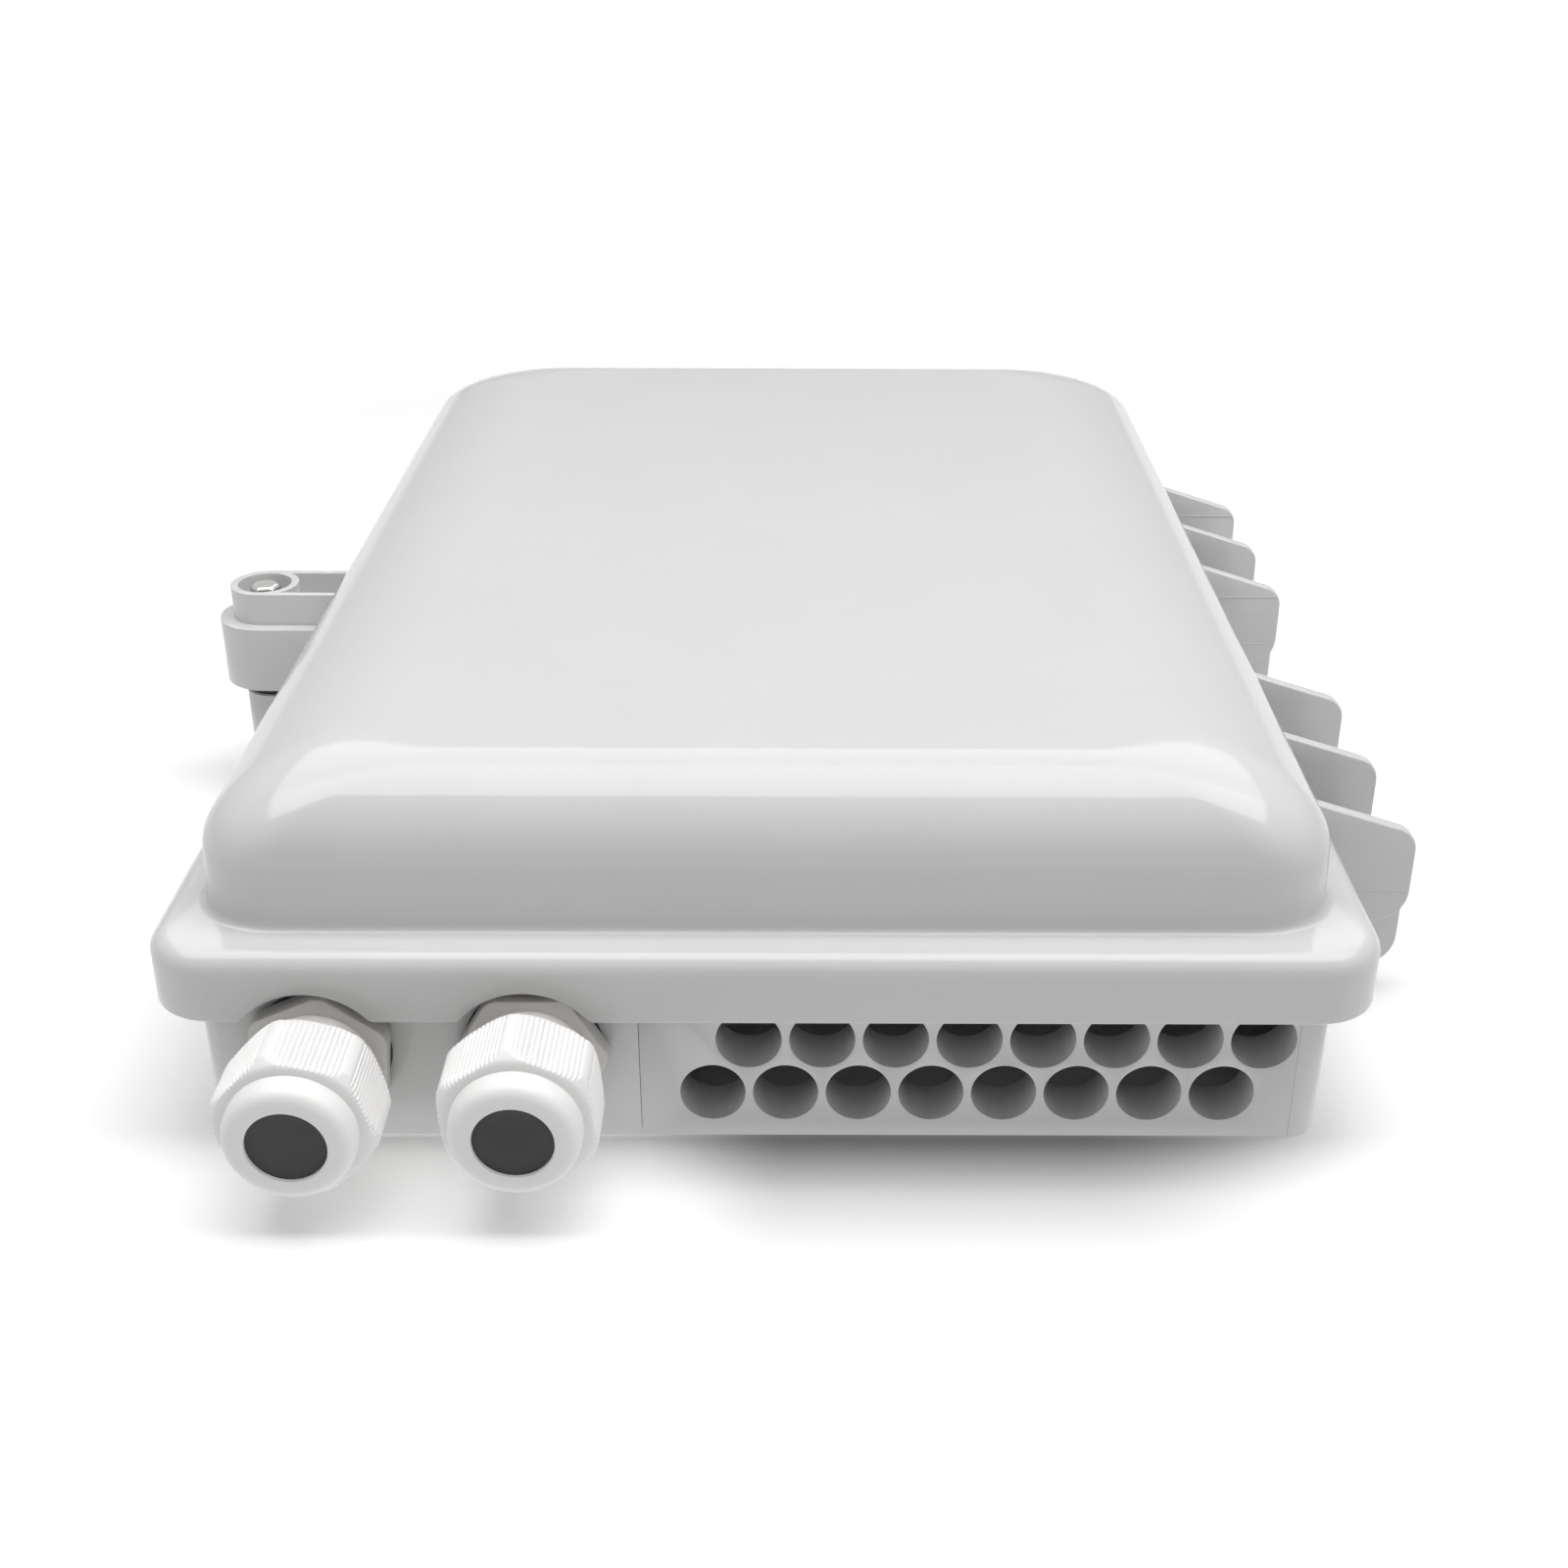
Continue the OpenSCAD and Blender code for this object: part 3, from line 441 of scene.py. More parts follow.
MATERIALS = {
    "shell_plastic": moulded("shell_plastic", (0.600, 0.606, 0.601), 0.09, variation=0.010, peel=0.02),
    "gland_plastic": moulded("gland_plastic", (0.66, 0.64, 0.62), 0.42, grain=0.15),
    "nut_plastic": moulded("nut_plastic", (0.82, 0.813, 0.808), 0.4, variation=0.01, specular=0.4),
    "black_rubber": moulded("black_rubber", (0.028, 0.028, 0.029), 0.6, variation=0.1, grain=0.4),
    "plug_rubber": moulded("plug_rubber", (0.052, 0.052, 0.054), 0.62, variation=0.08, grain=0.5,
                           grain_scale=2600, specular=0.35),
    "gasket_rubber": moulded("gasket_rubber", (0.04, 0.04, 0.042), 0.75, variation=0.1, grain=0.8,
                             grain_scale=1800),
    "inner_plastic": moulded("inner_plastic", (0.74, 0.74, 0.72), 0.4, grain=0.1),
    "tray_plastic": moulded("tray_plastic", (0.78, 0.78, 0.765), 0.35, grain=0.08),
    "adapter_plastic": moulded("adapter_plastic", (0.03, 0.27, 0.11), 0.33, variation=0.05),
    "holder_plastic": moulded("holder_plastic", (0.05, 0.05, 0.055), 0.45, variation=0.08, grain=0.2),
    "steel": metal("steel", (0.58, 0.58, 0.60), 0.32, stretch=(1, 0.05, 1)),
    "polished_steel": metal("polished_steel", (0.62, 0.615, 0.60), 0.18, scratch=0.08),
    "brass": metal("brass", (0.76, 0.55, 0.24), 0.25, stretch=(1, 1, 0.05)),
    "cap_plastic": clear_plastic("cap_plastic", (0.88, 0.90, 0.93), 0.3),
    "clear_cover": clear_plastic("clear_cover", (0.93, 0.96, 0.98), 0.06),
}
SLOT_OF = {s["node"]: s["material_slot"] for s in frame["record"]["subparts"]}


def dress(obj, slot_name):
    """Gives an object one material."""
    obj.data.materials.clear()
    obj.data.materials.append(MATERIALS[slot_name])


def place_piece(obj, body, slot_name, *nodes):
    """A new piece: its material, the body it rides on, and the CAD nodes it stands for."""
    dress(obj, slot_name)
    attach(obj, body)
    if nodes:
        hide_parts(*nodes)
    return obj


# ---------------------------------------------------------------------------
# Lid shell: one closed skin, swept round the box's plan from the dome's top,
# over the shelf, down the skirt and back up inside
# ---------------------------------------------------------------------------
FRONT_STEPS = 330
BACK_STEPS = 36
SIDE_STEPS = 48
CORNER_STEPS = 20


def plan_ring(half_x, half_y, radius):
    """Points of a rounded rectangle, anticlockwise from the front left; all rings share the same count."""
    run_x = half_x - radius
    run_y = half_y - radius
    points = []
    for k in range(FRONT_STEPS):
        points.append((-run_x + 2 * run_x * k / FRONT_STEPS, -half_y))
    points += arc((run_x, -run_y), radius, -90, 0, CORNER_STEPS)[:-1]
    for k in range(SIDE_STEPS):
        points.append((half_x, -run_y + 2 * run_y * k / SIDE_STEPS))
    points += arc((run_x, run_y), radius, 0, 90, CORNER_STEPS)[:-1]
    for k in range(BACK_STEPS):
        points.append((run_x - 2 * run_x * k / BACK_STEPS, half_y))
    points += arc((-run_x, run_y), radius, 90, 180, CORNER_STEPS)[:-1]
    for k in range(SIDE_STEPS):
        points.append((-half_x, run_y - 2 * run_y * k / SIDE_STEPS))
    points += arc((-run_x, -run_y), radius, 180, 270, CORNER_STEPS)[:-1]
    return points


GLAND_AXES = {side: Vector(MOUNTS["feed_gland_" + side]["pos_m"]) for side in GLAND_SIDES}


def skirt_edge(x, y):
    """Height of the skirt's lower edge: level, but arched over each gland."""
    edge = SKIRT_Z
    if y > -FLANGE_Y + 2 * WALL:
        return edge
    for centre_x, centre_z in ARCH_CENTRES:
        across = abs(x - centre_x)
        if across < ARCH_R:
            edge = smooth_max(edge, centre_z + math.sqrt(ARCH_R ** 2 - across ** 2), ARCH_SOFT)
    return edge


def skirt_ring(half_x, half_y, radius, share, lift=0.0):
    """A ring on the skirt, at a share of the way from its arched edge to the edge's rounding."""
    top = SHELF_Z - EDGE_ROUND
    ring = []
    for x, y in plan_ring(half_x, half_y, radius):
        low = skirt_edge(x, y)
        ring.append((x, y, low + lift + (top - low) * share))
    return ring


def flat_ring(half_x, half_y, radius, z):
    return [(x, y, z) for x, y in plan_ring(half_x, half_y, radius)]


def dome_rings(inset, foot_z, steps):
    """Rings up the dome from its foot, drawn in by inset on the sides and top."""
    rings = []
    wall_z = DOME_TOP - DOME_ROUND
    wall_steps = 5
    for k in range(wall_steps):
        z = foot_z + (wall_z - foot_z) * k / wall_steps
        lean = DOME_LEAN * max(0, z - SHELF_Z) / (wall_z - SHELF_Z)
        rings.append(flat_ring(DOME_X - inset - lean, DOME_Y - inset - lean, DOME_R - inset, z))
    for k in range(steps + 1):
        a = math.radians(90 * k / steps)
        drawn_in = 1 - math.cos(a)
        x = DOME_X - DOME_LEAN - inset - (DOME_ROUND_SIDE - inset) * drawn_in
        y = DOME_Y - DOME_LEAN - inset - (DOME_ROUND - inset) * drawn_in
        rings.append(flat_ring(x, y, DOME_R - inset, wall_z + (DOME_ROUND - inset) * math.sin(a)))
    return rings


def lid_shell():
    bm = bmesh.new()
    rings = []
    # outside, from the skirt's edge up
    for k in range(4):
        a = math.radians(90 * k / 3)
        rings.append(skirt_ring(
            FLANGE_X - LIP_ROUND * (1 - math.sin(a)), FLANGE_Y - LIP_ROUND * (1 - math.sin(a)),
            FLANGE_R - LIP_ROUND * (1 - math.sin(a)), 0, LIP_ROUND * (1 - math.cos(a))
        ))
    for share in (0.2, 0.4, 0.6, 0.8):
        rings.append(skirt_ring(FLANGE_X, FLANGE_Y, FLANGE_R, share, LIP_ROUND * (1 - share)))
    for k in range(9):
        a = math.radians(90 * k / 8)
        drawn_in = EDGE_ROUND * (1 - math.cos(a))
        rings.append(flat_ring(
            FLANGE_X - drawn_in, FLANGE_Y - drawn_in, FLANGE_R - drawn_in,
            SHELF_Z - EDGE_ROUND * (1 - math.sin(a))
        ))
    for k in range(6):
        a = math.radians(90 * k / 5)
        out = DOME_FOOT * (1 - math.sin(a))
        rings.append(flat_ring(
            DOME_X + out, DOME_Y + out, DOME_R + out, SHELF_Z + DOME_FOOT * (1 - math.cos(a))
        ))
    rings += dome_rings(0, SHELF_Z + DOME_FOOT + 0.6 * MM, 26)
    outer = [add_ring(bm, ring) for ring in rings]
    bridge(bm, outer)
    bm.faces.new(outer[-1])
    # inside, from the skirt's edge up
    rings = []
    for k in range(4):
        a = math.radians(90 * k / 3)
        out = LIP_ROUND * (1 - math.sin(a))
        rings.append(skirt_ring(
            FLANGE_X - WALL + out, FLANGE_Y - WALL + out, FLANGE_R - WALL + out,
            0, LIP_ROUND * (1 - math.cos(a))
        ))
    rings.append(skirt_ring(FLANGE_X - WALL, FLANGE_Y - WALL, FLANGE_R - WALL, 0.5, LIP_ROUND / 2))
    rings.append(flat_ring(FLANGE_X - WALL, FLANGE_Y - WALL, FLANGE_R - WALL, SHELF_UNDER))
    groove_top = GASKET_HIGH.z + GROOVE_GAP / 2
    groove_walls = ((0, (SHELF_UNDER, groove_top)), (GROOVE_WIDTH, (groove_top, SHELF_UNDER)))
    for inwards, heights in groove_walls:
        for z in heights:
            rings.append(flat_ring(
                GASKET_HIGH.x + GROOVE_GAP - inwards, GASKET_HIGH.y + GROOVE_GAP - inwards,
                GROOVE_R - inwards, z
            ))
    rings += dome_rings(WALL, SHELF_UNDER, 16)
    inner = [add_ring(bm, ring) for ring in rings]
    bridge(bm, inner)
    bm.faces.new(inner[-1])
    bridge(bm, [outer[0], inner[0]])
    return finish_mesh("lid_shell", bm, 50)


def rib_outline():
    """A hinge rib's outline in the X-Z plane, anticlockwise."""
    outer = HINGE.x + KNUCKLE_R
    corner_x = outer - RIB_CORNER_R
    top_x = DOME_X - 1.3 * MM
    corner_z = RIB_TOP_Z - (corner_x - top_x) * math.tan(RIB_SLOPE) - RIB_CORNER_R / math.cos(RIB_SLOPE)
    points = [(top_x, SHELF_UNDER + 0.5 * MM), (FLANGE_X - WALL, SHELF_UNDER + 0.5 * MM),
              (FLANGE_X - WALL, SKIRT_Z + 0.2 * MM)]
    points += arc((HINGE.x, HINGE.z), KNUCKLE_R, 180, 360, 28)
    points += arc((corner_x, corner_z), RIB_CORNER_R, 0, 90 - math.degrees(RIB_SLOPE), 14)
    points.append((top_x, RIB_TOP_Z))
    return points


def rib_places():
    """Y of each hinge rib, front to back: three to each pin."""
    places = []
    for low, high in ((PIN_LOW.y, PIN_HIGH.y), (REAR_PIN_LOW.y, REAR_PIN_HIGH.y)):
        front = low - RIB_FRONT_GAP + RIB_T / 2
        rear = high - RIB_REAR_GAP - RIB_T / 2
        places += [front, (front + rear) / 2, rear]
    return places


def hinge_ribs():
    bm = bmesh.new()
    outline = rib_outline()
    for y in rib_places():
        slab(bm, outline, y - RIB_T / 2, y + RIB_T / 2, RIB_EDGE, lambda u, v, w: (u, w, v))
    return finish_mesh("lid_hinge_ribs", bm, 40)


def rib_lines():
    """Thin raised mould lines across the front faces of three hinge ribs."""
    bm = bmesh.new()
    places = rib_places()
    for rib, z in RIB_LINES:
        front = places[rib] - RIB_T / 2
        outline = rectangle(FLANGE_X - WALL, z - MOULD_LINE, HINGE.x + KNUCKLE_R - 0.8 * MM, z + MOULD_LINE)
        slab(bm, outline, front - 0.12 * MM, front + 0.1 * MM, 0.05 * MM, lambda u, v, w: (u, w, v))
    return finish_mesh("lid_rib_lines", bm)


def lug_outline(radius, far_x, steps=40):
    """A lug in plan: a half circle round the lock and two straight sides that run to far_x."""
    points = arc((LOCK.x, LOCK.y), radius, 90, 270, steps)
    points.append((far_x, LOCK.y - radius))
    points.append((far_x, LOCK.y + radius))
    return points


def prism(name, outline, low, high):
    """A plain upright solid from an anticlockwise outline, used as a building block."""
    bm = bmesh.new()
    bottom = add_ring(bm, [(p[0], p[1], low) for p in outline])
    top = add_ring(bm, [(p[0], p[1], high) for p in outline])
    bridge(bm, [bottom, top])
    bm.faces.new(bottom)
    bm.faces.new(top)
    return finish_mesh(name, bm)


def disc_outline(radius, centre=LOCK, steps=72):
    return arc((centre.x, centre.y), radius, 0, 360 - 360 / steps, steps - 1)


def rectangle(x0, y0, x1, y1):
    return [(x0, y0), (x1, y0), (x1, y1), (x0, y1)]


def apply_modifiers(obj):
    """Replaces an object's mesh by what its modifiers make of it."""
    graph = bpy.context.evaluated_depsgraph_get()
    made = bpy.data.meshes.new_from_object(obj.evaluated_get(graph))
    obj.modifiers.clear()
    old = obj.data
    obj.data = made
    bpy.data.meshes.remove(old)


def combine(obj, tools, operation):
    """Joins or cuts a solid with tool solids, which are used up."""
    for tool in tools:
        step = obj.modifiers.new("step", "BOOLEAN")
        step.operation = operation
        step.solver = "EXACT"
        step.object = tool
        bpy.context.view_layer.update()
        apply_modifiers(obj)
        bpy.data.objects.remove(tool)
    return obj


def round_edges(obj, width, degrees=35, segments=3):
    bevel = obj.modifiers.new("bevel", "BEVEL")
    bevel.width = width
    bevel.segments = segments
    bevel.limit_method = "ANGLE"
    bevel.angle_limit = math.radians(degrees)
    bevel.use_clamp_overlap = True
    bpy.context.view_layer.update()
    apply_modifiers(obj)
    shade(obj.data, degrees)
    return obj


def lock_boss():
    """The lid's lock boss: a lug, and a collar whose two walls run to the dome with a pocket between them."""
    far = -DOME_X + 1.5 * MM
    boss = prism("lid_lock_boss", lug_outline(BOSS_R, far), SKIRT_Z, BOSS_Z)
    combine(boss, [prism("tool", lug_outline(COLLAR_R, far), BOSS_Z - 1 * MM, COLLAR_Z)], "UNION")
    pocket = prism("tool", rectangle(LOCK.x, LOCK.y - COLLAR_BORE, -DOME_X - 0.3 * MM, LOCK.y + COLLAR_BORE),
                   COLLAR_FLOOR + 0.2 * MM, COLLAR_Z + 2 * MM)
    combine(pocket, [prism("tool", disc_outline(COLLAR_R), BOSS_Z - 2 * MM, COLLAR_Z + 4 * MM)], "DIFFERENCE")
    combine(boss, [
        pocket,
        prism("tool", disc_outline(COLLAR_BORE), COLLAR_FLOOR, COLLAR_Z + 2 * MM),
        prism("tool", disc_outline(SEAL_POCKET_R), SKIRT_Z - 1 * MM, SKIRT_Z + SEAL_POCKET_DEPTH),
        prism("tool", disc_outline(SHANK_HOLE_R), SKIRT_Z - 2 * MM, COLLAR_Z),
        prism("tool", rectangle(-FLANGE_X + 0.6 * MM, LOCK.y - 20 * MM, 0, LOCK.y + 20 * MM),
              SKIRT_Z - 1 * MM, SHELF_UNDER + 0.6 * MM),
    ], "DIFFERENCE")
    return round_edges(boss, 0.35 * MM)


def pin_holes(ribs):
    """Drills each group of ribs for its pin, which ends behind the front rib's skin."""
    for low, high in ((PIN_LOW.y, PIN_HIGH.y), (REAR_PIN_LOW.y, REAR_PIN_HIGH.y)):
        bm = bmesh.new()
        reach = high - low + 2 * MM
        turned(bm, [(0, -reach), (PIN_R + PIN_GAP, -reach), (PIN_R + PIN_GAP, 0), (0, 0)],
               Vector((HINGE.x, low - 0.05 * MM, HINGE.z)), steps=32)
        bmesh.ops.remove_doubles(bm, verts=bm.verts, dist=0.001 * MM)
        combine(ribs, [finish_mesh("tool", bm)], "DIFFERENCE")
    shade(ribs.data, 40)
    return ribs


# ---------------------------------------------------------------------------
# Cable glands
# ---------------------------------------------------------------------------
NUT_STEPS = 960
NUT_EDGE = 0.35 * MM
NUT_CHAMFER = 6.6 * MM
NUT_BORE_R = 10.35 * MM
NUT_SHOULDER = ((5.9, 13.75), (5.3, 13.25), (4.9, 12.8), (4.8, 12.0))
RIB_PITCH = 0.92 * MM
RIB_DEPTH = 0.4 * MM
NOSE_R = 11.25 * MM
NOSE_LENGTH = 4.75 * MM
NOSE_POWER = 3.2

BODY_STEPS = 144
HEX_DEPTH = 4 * MM
THREAD_R = 10.2 * MM
THREAD_PITCH = 1.41 * MM
THREAD_DEPTH = 0.55 * MM
BODY_BORE_R = 8.1 * MM


def hexagon(angle, across_flats, turn):
    """(radius, distance along the flat from its middle) of a hexagon at an angle, in radians."""
    local = (angle - math.radians(turn + 30) + math.pi / 6) % (math.pi / 3) - math.pi / 6
    return across_flats / 2 / math.cos(local), across_flats / 2 * math.tan(local)


def curve_through(points, distance):
    """A value read off straight stretches between (distance, value) points."""
    for (d0, v0), (d1, v1) in zip(points, points[1:]):
        if d0 <= distance <= d1:
            return v0 + (v1 - v0) * (distance - d0) / (d1 - d0)
    return points[-1][1] if distance > points[-1][0] else points[0][1]


def gland_nut(side):
    """A gland nut: a ribbed hexagon whose shoulder runs into a domed nose with a round mouth.

    Its rings are placed by s, the distance from its back end; NUT_SHOULDER is (distance behind the
    front, radius) in millimetres.
    """
    node = "gland_nut_" + side
    low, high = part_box(node)
    axis = GLAND_AXES[side]
    length = high.y - low.y
    chamfer_from = length - NUT_CHAMFER
    shoulder = [(0, NUT_CORNER_R - 0.9 * MM), (0.9 * MM, NUT_CORNER_R), (chamfer_from, NUT_CORNER_R)]
    for back, radius in NUT_SHOULDER:
        shoulder.append((length - back * MM, radius * MM))
    face_r = MOUTH_R + NUT_EDGE
    for k in range(25):
        a = math.radians(90 - 90 * k / 24)
        shoulder.append((
            length - NOSE_LENGTH * (1 - math.cos(a) ** (2 / NOSE_POWER)),
            face_r + (NOSE_R - face_r) * math.sin(a) ** (2 / NOSE_POWER)
        ))
    stations = [NUT_EDGE * k / 3 for k in range(4)]
    stations += [NUT_EDGE + (length - 7.2 * MM) * k / 28 for k in range(1, 29)]
    stations += [length - 6.85 * MM + 2 * MM * k / 10 for k in range(1, 11)]
    stations += [point[0] for point in shoulder[6:] if point[0] > length - 4.82 * MM]

    def ribbed(s, limit, angle):
        """The outside's radius at s: ribs on the flats, none near the corners or the back edge."""
        flat, across = hexagon(angle, NUT_AF, NUT_TURN[side])
        fade = min(1, max(0, (6.6 * MM - abs(across)) / (0.5 * MM))) * min(1, s / (0.3 * MM))
        groove = RIB_DEPTH * (0.5 - 0.5 * math.cos(2 * math.pi * across / RIB_PITCH)) * fade
        return smooth_min(flat - groove, limit, 0.7 * MM)

    bm = bmesh.new()
    rings = []
    for s in stations:
        limit = curve_through(shoulder, s)
        rings.append(ring_about(bm, axis, high.y - s, NUT_STEPS, lambda angle: ribbed(s, limit, angle)))
    lip = []
    for k in range(1, 7):
        a = math.radians(90 * k / 6)
        lip.append((MOUTH_R + NUT_EDGE * (1 - math.sin(a)), length - NUT_EDGE * (1 - math.cos(a))))
    plug_at = high.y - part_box("gland_plug_" + side)[0].y
    cavity = lip + [
        (MOUTH_R, plug_at), (8.2 * MM, plug_at), (8.2 * MM, plug_at - 2 * MM),
        (NUT_BORE_R, plug_at - 5 * MM), (NUT_BORE_R, 0.3 * MM), (NUT_BORE_R + 0.3 * MM, 0)
    ]
    for radius, s in cavity:
        rings.append(ring_about(bm, axis, high.y - s, NUT_STEPS, radius))
    bridge(bm, rings, closed=True)
    return place_piece(finish_mesh("gland_nut_%s_skin" % side, bm, 40), node, "nut_plastic", node)


def gland_body(side):
    """A gland body: a chamfered hexagon between two threaded barrels, with a bore right through."""
    node = "gland_body_" + side
    low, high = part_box(node)
    axis = GLAND_AXES[side]
    hex_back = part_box("gland_washer_" + side)[0].y
    hex_front = hex_back - HEX_DEPTH
    bm = bmesh.new()
    rings = []

    def thread(y, fade, angle):
        phase = ((y - low.y) / THREAD_PITCH + angle / (2 * math.pi)) % 1
        return THREAD_R - THREAD_DEPTH * smooth_min(1, abs(phase - 0.5) * 2.6, 0.3) * fade

    def hex_side(inset, angle):
        flat = hexagon(angle, HEX_AF, HEX_TURN[side])[0]
        return smooth_min(flat, HEX_CORNER_R, 0.3 * MM) - inset

    def barrel(y_from, y_to, at_hex):
        """Threaded rings; the thread runs out over the last millimetre before the hexagon."""
        count = int(abs(y_to - y_from) / THREAD_PITCH * 8)
        for k in range(count + 1):
            y = y_from + (y_to - y_from) * k / count
            fade = min(1, abs(y - at_hex) / (1.0 * MM))
            rings.append(ring_about(bm, axis, y, BODY_STEPS, lambda angle: thread(y, fade, angle)))

    barrel(low.y, hex_front, hex_front)
    for y, inset in (
        (hex_front, 0.3 * MM), (hex_front + 0.09 * MM, 0.09 * MM), (hex_front + 0.3 * MM, 0),
        (hex_back - 0.3 * MM, 0), (hex_back - 0.09 * MM, 0.09 * MM), (hex_back, 0.3 * MM)
    ):
        rings.append(ring_about(bm, axis, y, BODY_STEPS, lambda angle: hex_side(inset, angle)))
    barrel(hex_back, high.y, hex_back)
    for radius, y in (
        (BODY_BORE_R + 0.3 * MM, high.y), (BODY_BORE_R, high.y - 0.3 * MM),
        (BODY_BORE_R, low.y + 0.3 * MM), (BODY_BORE_R + 0.3 * MM, low.y)
    ):
        rings.append(ring_about(bm, axis, y, BODY_STEPS, radius))
    bridge(bm, rings, closed=True)
    return place_piece(finish_mesh("gland_body_%s_skin" % side, bm, 40), "base", "gland_plastic", node)


def gland_plug(side):
    """The blanking plug: a disc with a rounded rim and a faintly sunk face."""
    node = "gland_plug_" + side
    low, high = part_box(node)
    axis = GLAND_AXES[side]
    at = Vector((axis.x, high.y, axis.z))
    depth = high.y - low.y
    radius = (high.x - low.x) / 2
    profile = [(0.02 * MM, 0), (radius - 0.3 * MM, 0), (radius, 0.3 * MM), (radius, depth - 0.3 * MM)]
    profile += [(p[0], p[1]) for p in arc((radius - 0.3 * MM, depth - 0.3 * MM), 0.3 * MM, 0, 90, 4)]
    for k in range(7):
        share = k / 6
        profile.append(((radius - 1.2 * MM) * (1 - share) + 0.02 * MM * share,
                        depth - 0.22 * MM * (1 - (1 - share) ** 2)))
    bm = bmesh.new()
    turned(bm, profile, at)
    return place_piece(finish_mesh("gland_plug_%s_face" % side, bm, 50), "base", "plug_rubber", node)


# ---------------------------------------------------------------------------
# Lock bolt: a bright key head with chamfered corners, over its flange and shank
# ---------------------------------------------------------------------------
def lock_bolt():
    low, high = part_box("lock_bolt")
    bm = bmesh.new()
    steps = 96

    def key_ring(scale, z):
        ring = []
        for k in range(steps):
            angle = 2 * math.pi * k / steps
            reach = smooth_min(hexagon(angle, KEY_AF, KEY_TURN)[0], KEY_CORNER_R, 0.25 * MM) * scale
            ring.append((LOCK.x + reach * math.cos(angle), LOCK.y + reach * math.sin(angle), z))
        return add_ring(bm, ring)

    def round_ring(radius, z):
        ring = []
        for k in range(steps):
            angle = 2 * math.pi * k / steps
            ring.append((LOCK.x + radius * math.cos(angle), LOCK.y + radius * math.sin(angle), z))
        return add_ring(bm, ring)

    clip_low, clip_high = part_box("lock_clip")
    turned_part = [
        (TIP_R - 0.7 * MM, low.z), (TIP_R, low.z + 0.7 * MM), (TIP_R, clip_low.z - 1.15 * MM),
        (SHANK_R - 0.3 * MM, clip_low.z - 1.12 * MM), (SHANK_R, clip_low.z - 0.85 * MM),
        (SHANK_R, clip_low.z - 0.1 * MM), (CLIP_GROOVE_R, clip_low.z - 0.08 * MM),
        (CLIP_GROOVE_R, clip_high.z + 0.08 * MM), (SHANK_R, clip_high.z + 0.1 * MM),
        (SHANK_R, COLLAR_FLOOR + 0.05 * MM), (BOLT_FLANGE_R - 0.15 * MM, COLLAR_FLOOR + 0.06 * MM),
        (BOLT_FLANGE_R, COLLAR_FLOOR + 0.2 * MM), (BOLT_FLANGE_R, KEY_FOOT_Z - 0.2 * MM),
        (BOLT_FLANGE_R - 0.2 * MM, KEY_FOOT_Z)
    ]
    key_part = [
        (1.03, KEY_FOOT_Z + 0.01 * MM), (1.0, KEY_FOOT_Z + 0.15 * MM), (1.0, high.z - 0.75 * MM),
        (0.965, high.z - 0.55 * MM), (0.82, high.z - 0.08 * MM), (0.79, high.z)
    ]
    rings = [round_ring(radius, z) for radius, z in turned_part]
    rings += [key_ring(scale, z) for scale, z in key_part]
    bridge(bm, rings)
    bm.faces.new(rings[0])
    bm.faces.new(rings[-1])
    return place_piece(finish_mesh("lock_bolt_key", bm, 30), "lock_bolt", "polished_steel", "lock_bolt")


# ---------------------------------------------------------------------------
# The object
# ---------------------------------------------------------------------------
for cad_node, obj in frame["nodes"].items():
    dress(obj, SLOT_OF[cad_node])

place_piece(lid_shell(), "lid", "shell_plastic", "lid")
place_piece(pin_holes(hinge_ribs()), "lid", "shell_plastic")
place_piece(rib_lines(), "lid", "shell_plastic")
place_piece(lock_boss(), "lid", "shell_plastic")
for gland_side in GLAND_SIDES:
    gland_nut(gland_side)
    gland_body(gland_side)
    gland_plug(gland_side)
lock_bolt()

SOFT_EDGES = {
    "base_shell": 0.4, "gland_panel": 0.25, "drop_port_panel": 0.25, "adapter_bracket": 0.2,
    "adapters_lower_row": 0.25, "adapters_upper_row": 0.25, "dust_caps_front": 0.3, "dust_caps_rear": 0.3,
    "splice_tray": 0.3, "splice_holders": 0.15, "fiber_spools": 0.25, "tray_cover": 0.2,
    "cable_tie_bar": 0.25, "cable_clamp_left": 0.3, "cable_clamp_right": 0.3,
    "gland_locknut_left": 0.3, "gland_locknut_right": 0.3, "clamp_screws": 0.15, "bracket_screws": 0.15,
    "tray_screws": 0.15, "lid_gasket": 0.3, "lock_insert": 0.15, "lock_seal": 0.3, "lock_clip": 0.1,
    "gland_washer_left": 0.15, "gland_washer_right": 0.15, "gland_seal_left": 0.3, "gland_seal_right": 0.3,
    "hinge_pin_front": 0.3, "hinge_pin_rear": 0.3,
}
for cad_node, width_mm in SOFT_EDGES.items():
    soften(cad_node, width_mm * MM)


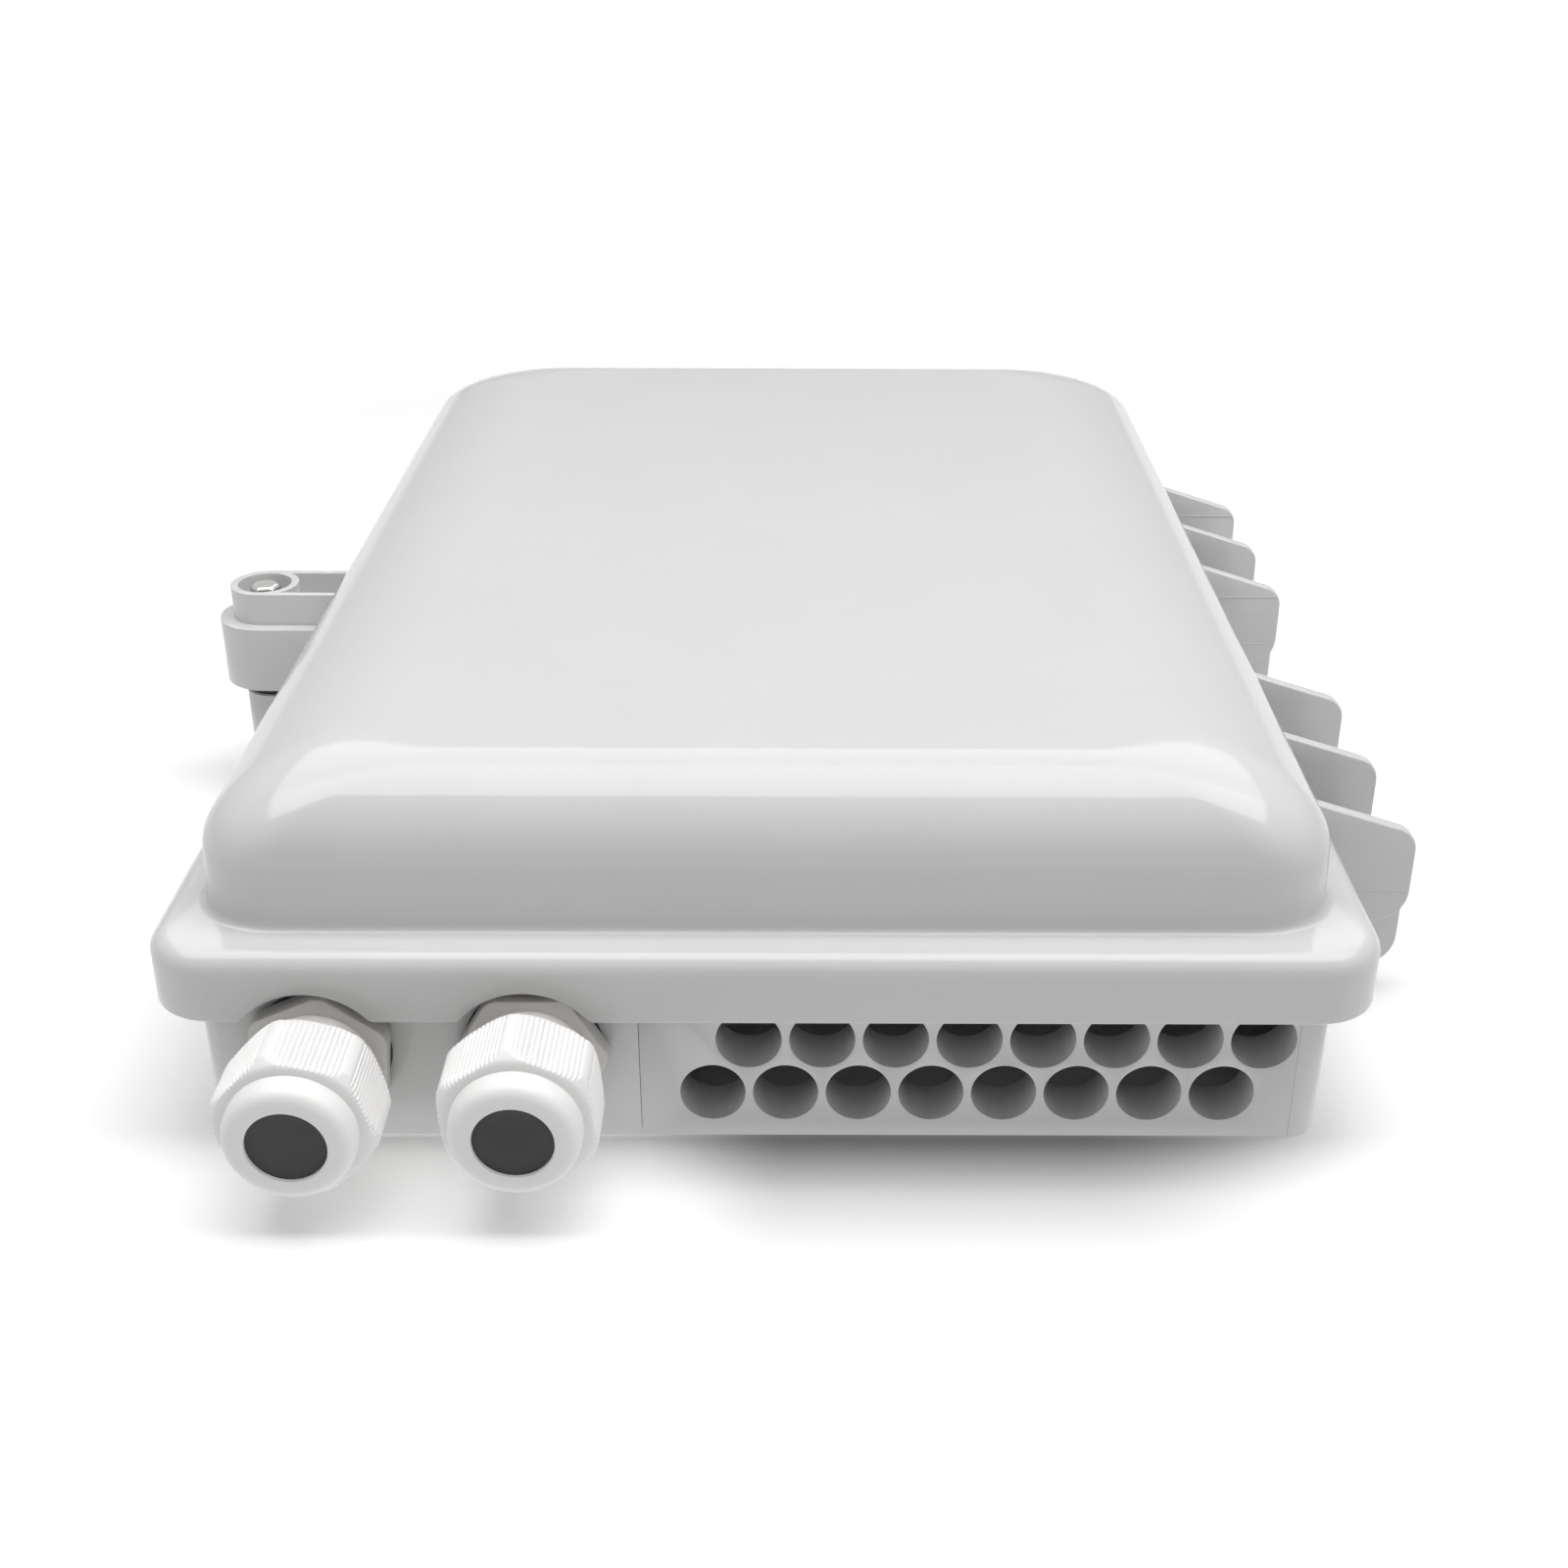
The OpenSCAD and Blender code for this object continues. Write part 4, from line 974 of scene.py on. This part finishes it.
# ---------------------------------------------------------------------------
# Floor, light and camera
# ---------------------------------------------------------------------------
def floor():
    """A pale sheet. To the camera, a painted shadow darkens it near the box, and its own glow lifts it to white
    further out; to other rays it glows evenly, a painted stand-in for light bounced off it.
    """
    material, tree, surface, coords = new_material("studio_floor")
    paper = noise_at(tree, coords, 3, detail=2)
    split = tree.nodes.new("ShaderNodeSeparateXYZ")
    tree.links.new(coords.outputs["Object"], split.inputs["Vector"])
    # Painted shadow: the floor's colour is darkened in front of the box by place alone
    painted_shadow_mask = spread(tree, split.outputs["Y"], *PAINTED_SHADOW_Y, 0, PAINTED_SHADOW_DEPTH)
    for axis, reach in (("X", PAINTED_SHADOW_LEFT), ("X", PAINTED_SHADOW_RIGHT), ("Y", PAINTED_SHADOW_BACK)):
        side = spread(tree, split.outputs[axis], *reach, 0, 1)
        side.node.interpolation_type = "SMOOTHSTEP"
        painted_shadow_mask = times(tree, painted_shadow_mask, side)
    paper = shades(tree, paper, (0.985, 0.985, 0.985), (0.995, 0.995, 0.995))
    # The camera's colour for the floor: the paper darkened by the painted shadow
    painted_shadow_tint = shades(tree, painted_shadow_mask, (1, 1, 1), (0, 0, 0))
    tree.links.new(paper, painted_shadow_tint.node.inputs["A"])
    path = tree.nodes.new("ShaderNodeLightPath")
    glow = shades(tree, path.outputs["Is Camera Ray"], (1, 1, 1), (1, 1, 1))
    tree.links.new(painted_shadow_tint, glow.node.inputs["B"])
    tree.links.new(glow, surface.inputs["Emission Color"])
    reach = tree.nodes.new("ShaderNodeVectorMath")
    reach.operation = "LENGTH"
    tree.links.new(coords.outputs["Object"], reach.inputs[0])
    lift = spread(tree, reach.outputs["Value"], *FLOOR_FAR, FLOOR_LIFT, 1)
    # Other rays see the floor glow evenly, a painted stand-in for its bounced light; the camera sees a glow that
    # lifts the far floor to white
    strength = blend(tree, path.outputs["Is Camera Ray"], PAINTED_BOUNCE_GLOW, lift)
    tree.links.new(strength, surface.inputs["Emission Strength"])
    tint = shades(tree, path.outputs["Is Camera Ray"], (FLOOR_BOUNCE,) * 3, (1, 1, 1))
    tree.links.new(painted_shadow_tint, tint.node.inputs["B"])
    tree.links.new(tint, surface.inputs["Base Color"])
    surface.inputs["Roughness"].default_value = 0.9
    surface.inputs["Specular IOR Level"].default_value = 0.1
    bm = bmesh.new()
    half = FLOOR_SIZE / 2
    bm.faces.new(add_ring(bm, [(x, y, 0) for x, y in rectangle(-half, -half, half, half)]))
    plane = finish_mesh("studio_floor", bm)
    plane.location.z = -FLOOR_DROP
    plane.data.materials.append(material)


def overhead_light(name, x, reach_y, z, radiance, lights):
    """A level panel over the object, from reach_y[0] to reach_y[1], that either lights or only reflects."""
    light = bpy.data.lights.new(name, "AREA")
    light.shape = "RECTANGLE"
    light.size = PANEL_WIDTH
    light.size_y = reach_y[1] - reach_y[0]
    light.energy = radiance * math.pi * light.size * light.size_y
    obj = bpy.data.objects.new(name, light)
    bpy.context.scene.collection.objects.link(obj)
    obj.location = (x, (reach_y[0] + reach_y[1]) / 2, z)
    obj.visible_diffuse = lights
    obj.visible_glossy = not lights
    return obj


def room():
    """The studio round the object: bright behind, dark in front, and plain white to the camera."""
    world = bpy.data.worlds.new("studio_room")
    bpy.context.scene.world = world
    world.use_nodes = True
    tree = world.node_tree
    coords = tree.nodes.new("ShaderNodeTexCoord")
    split = tree.nodes.new("ShaderNodeSeparateXYZ")
    tree.links.new(coords.outputs["Generated"], split.inputs["Vector"])
    path = tree.nodes.new("ShaderNodeLightPath")
    front_shine = spread(tree, split.outputs["Y"], *ROOM_SHINE_FRONT_Y, *ROOM_SHINE_FRONT)
    back_shine = spread(tree, split.outputs["Z"], *ROOM_SHINE_BACK_Z, *ROOM_SHINE_BACK)
    behind = spread(tree, split.outputs["Y"], *ROOM_BEHIND_Y, 0, 1)
    shine = blend(tree, behind, front_shine, back_shine)
    lit = spread(tree, split.outputs["Z"], *ROOM_LIGHT_Z, *ROOM_LIGHT)
    strength = blend(tree, path.outputs["Is Glossy Ray"], lit, shine)
    strength = blend(tree, path.outputs["Is Camera Ray"], strength, 1.0)
    background = tree.nodes["Background"]
    background.inputs["Color"].default_value = (1, 1, 1, 1)
    tree.links.new(strength, background.inputs["Strength"])


def studio():
    room()
    overhead_light("soft_box", SOFT_BOX_X, SOFT_BOX_Y, SOFT_BOX_Z, SOFT_BOX_RADIANCE, True)
    overhead_light("near_card", 0, NEAR_CARD_Y, CARD_Z, NEAR_CARD_RADIANCE, False)
    overhead_light("far_card", 0, FAR_CARD_Y, CARD_Z, FAR_CARD_RADIANCE, False)


def camera():
    data = bpy.data.cameras.new("camera")
    data.sensor_width = CAMERA_SENSOR
    data.lens = CAMERA_LENS
    data.shift_x = CAMERA_SHIFT_X
    data.clip_start = 0.01
    obj = bpy.data.objects.new("camera", data)
    bpy.context.scene.collection.objects.link(obj)
    pitch = math.radians(CAMERA_PITCH)
    yaw = math.radians(CAMERA_YAW)
    ahead = Vector((math.sin(yaw) * math.cos(pitch), math.cos(yaw) * math.cos(pitch), -math.sin(pitch)))
    right = Vector((math.cos(yaw), -math.sin(yaw), 0))
    up = right.cross(ahead)
    basis = Matrix((right, up, -ahead)).transposed().to_4x4()
    roll = Matrix.Rotation(math.radians(CAMERA_ROLL), 4, "Z")
    obj.matrix_world = Matrix.Translation(CAMERA_AT) @ basis @ roll
    bpy.context.scene.camera = obj


floor()
studio()
camera()
bpy.context.scene.view_settings.view_transform = "Standard"
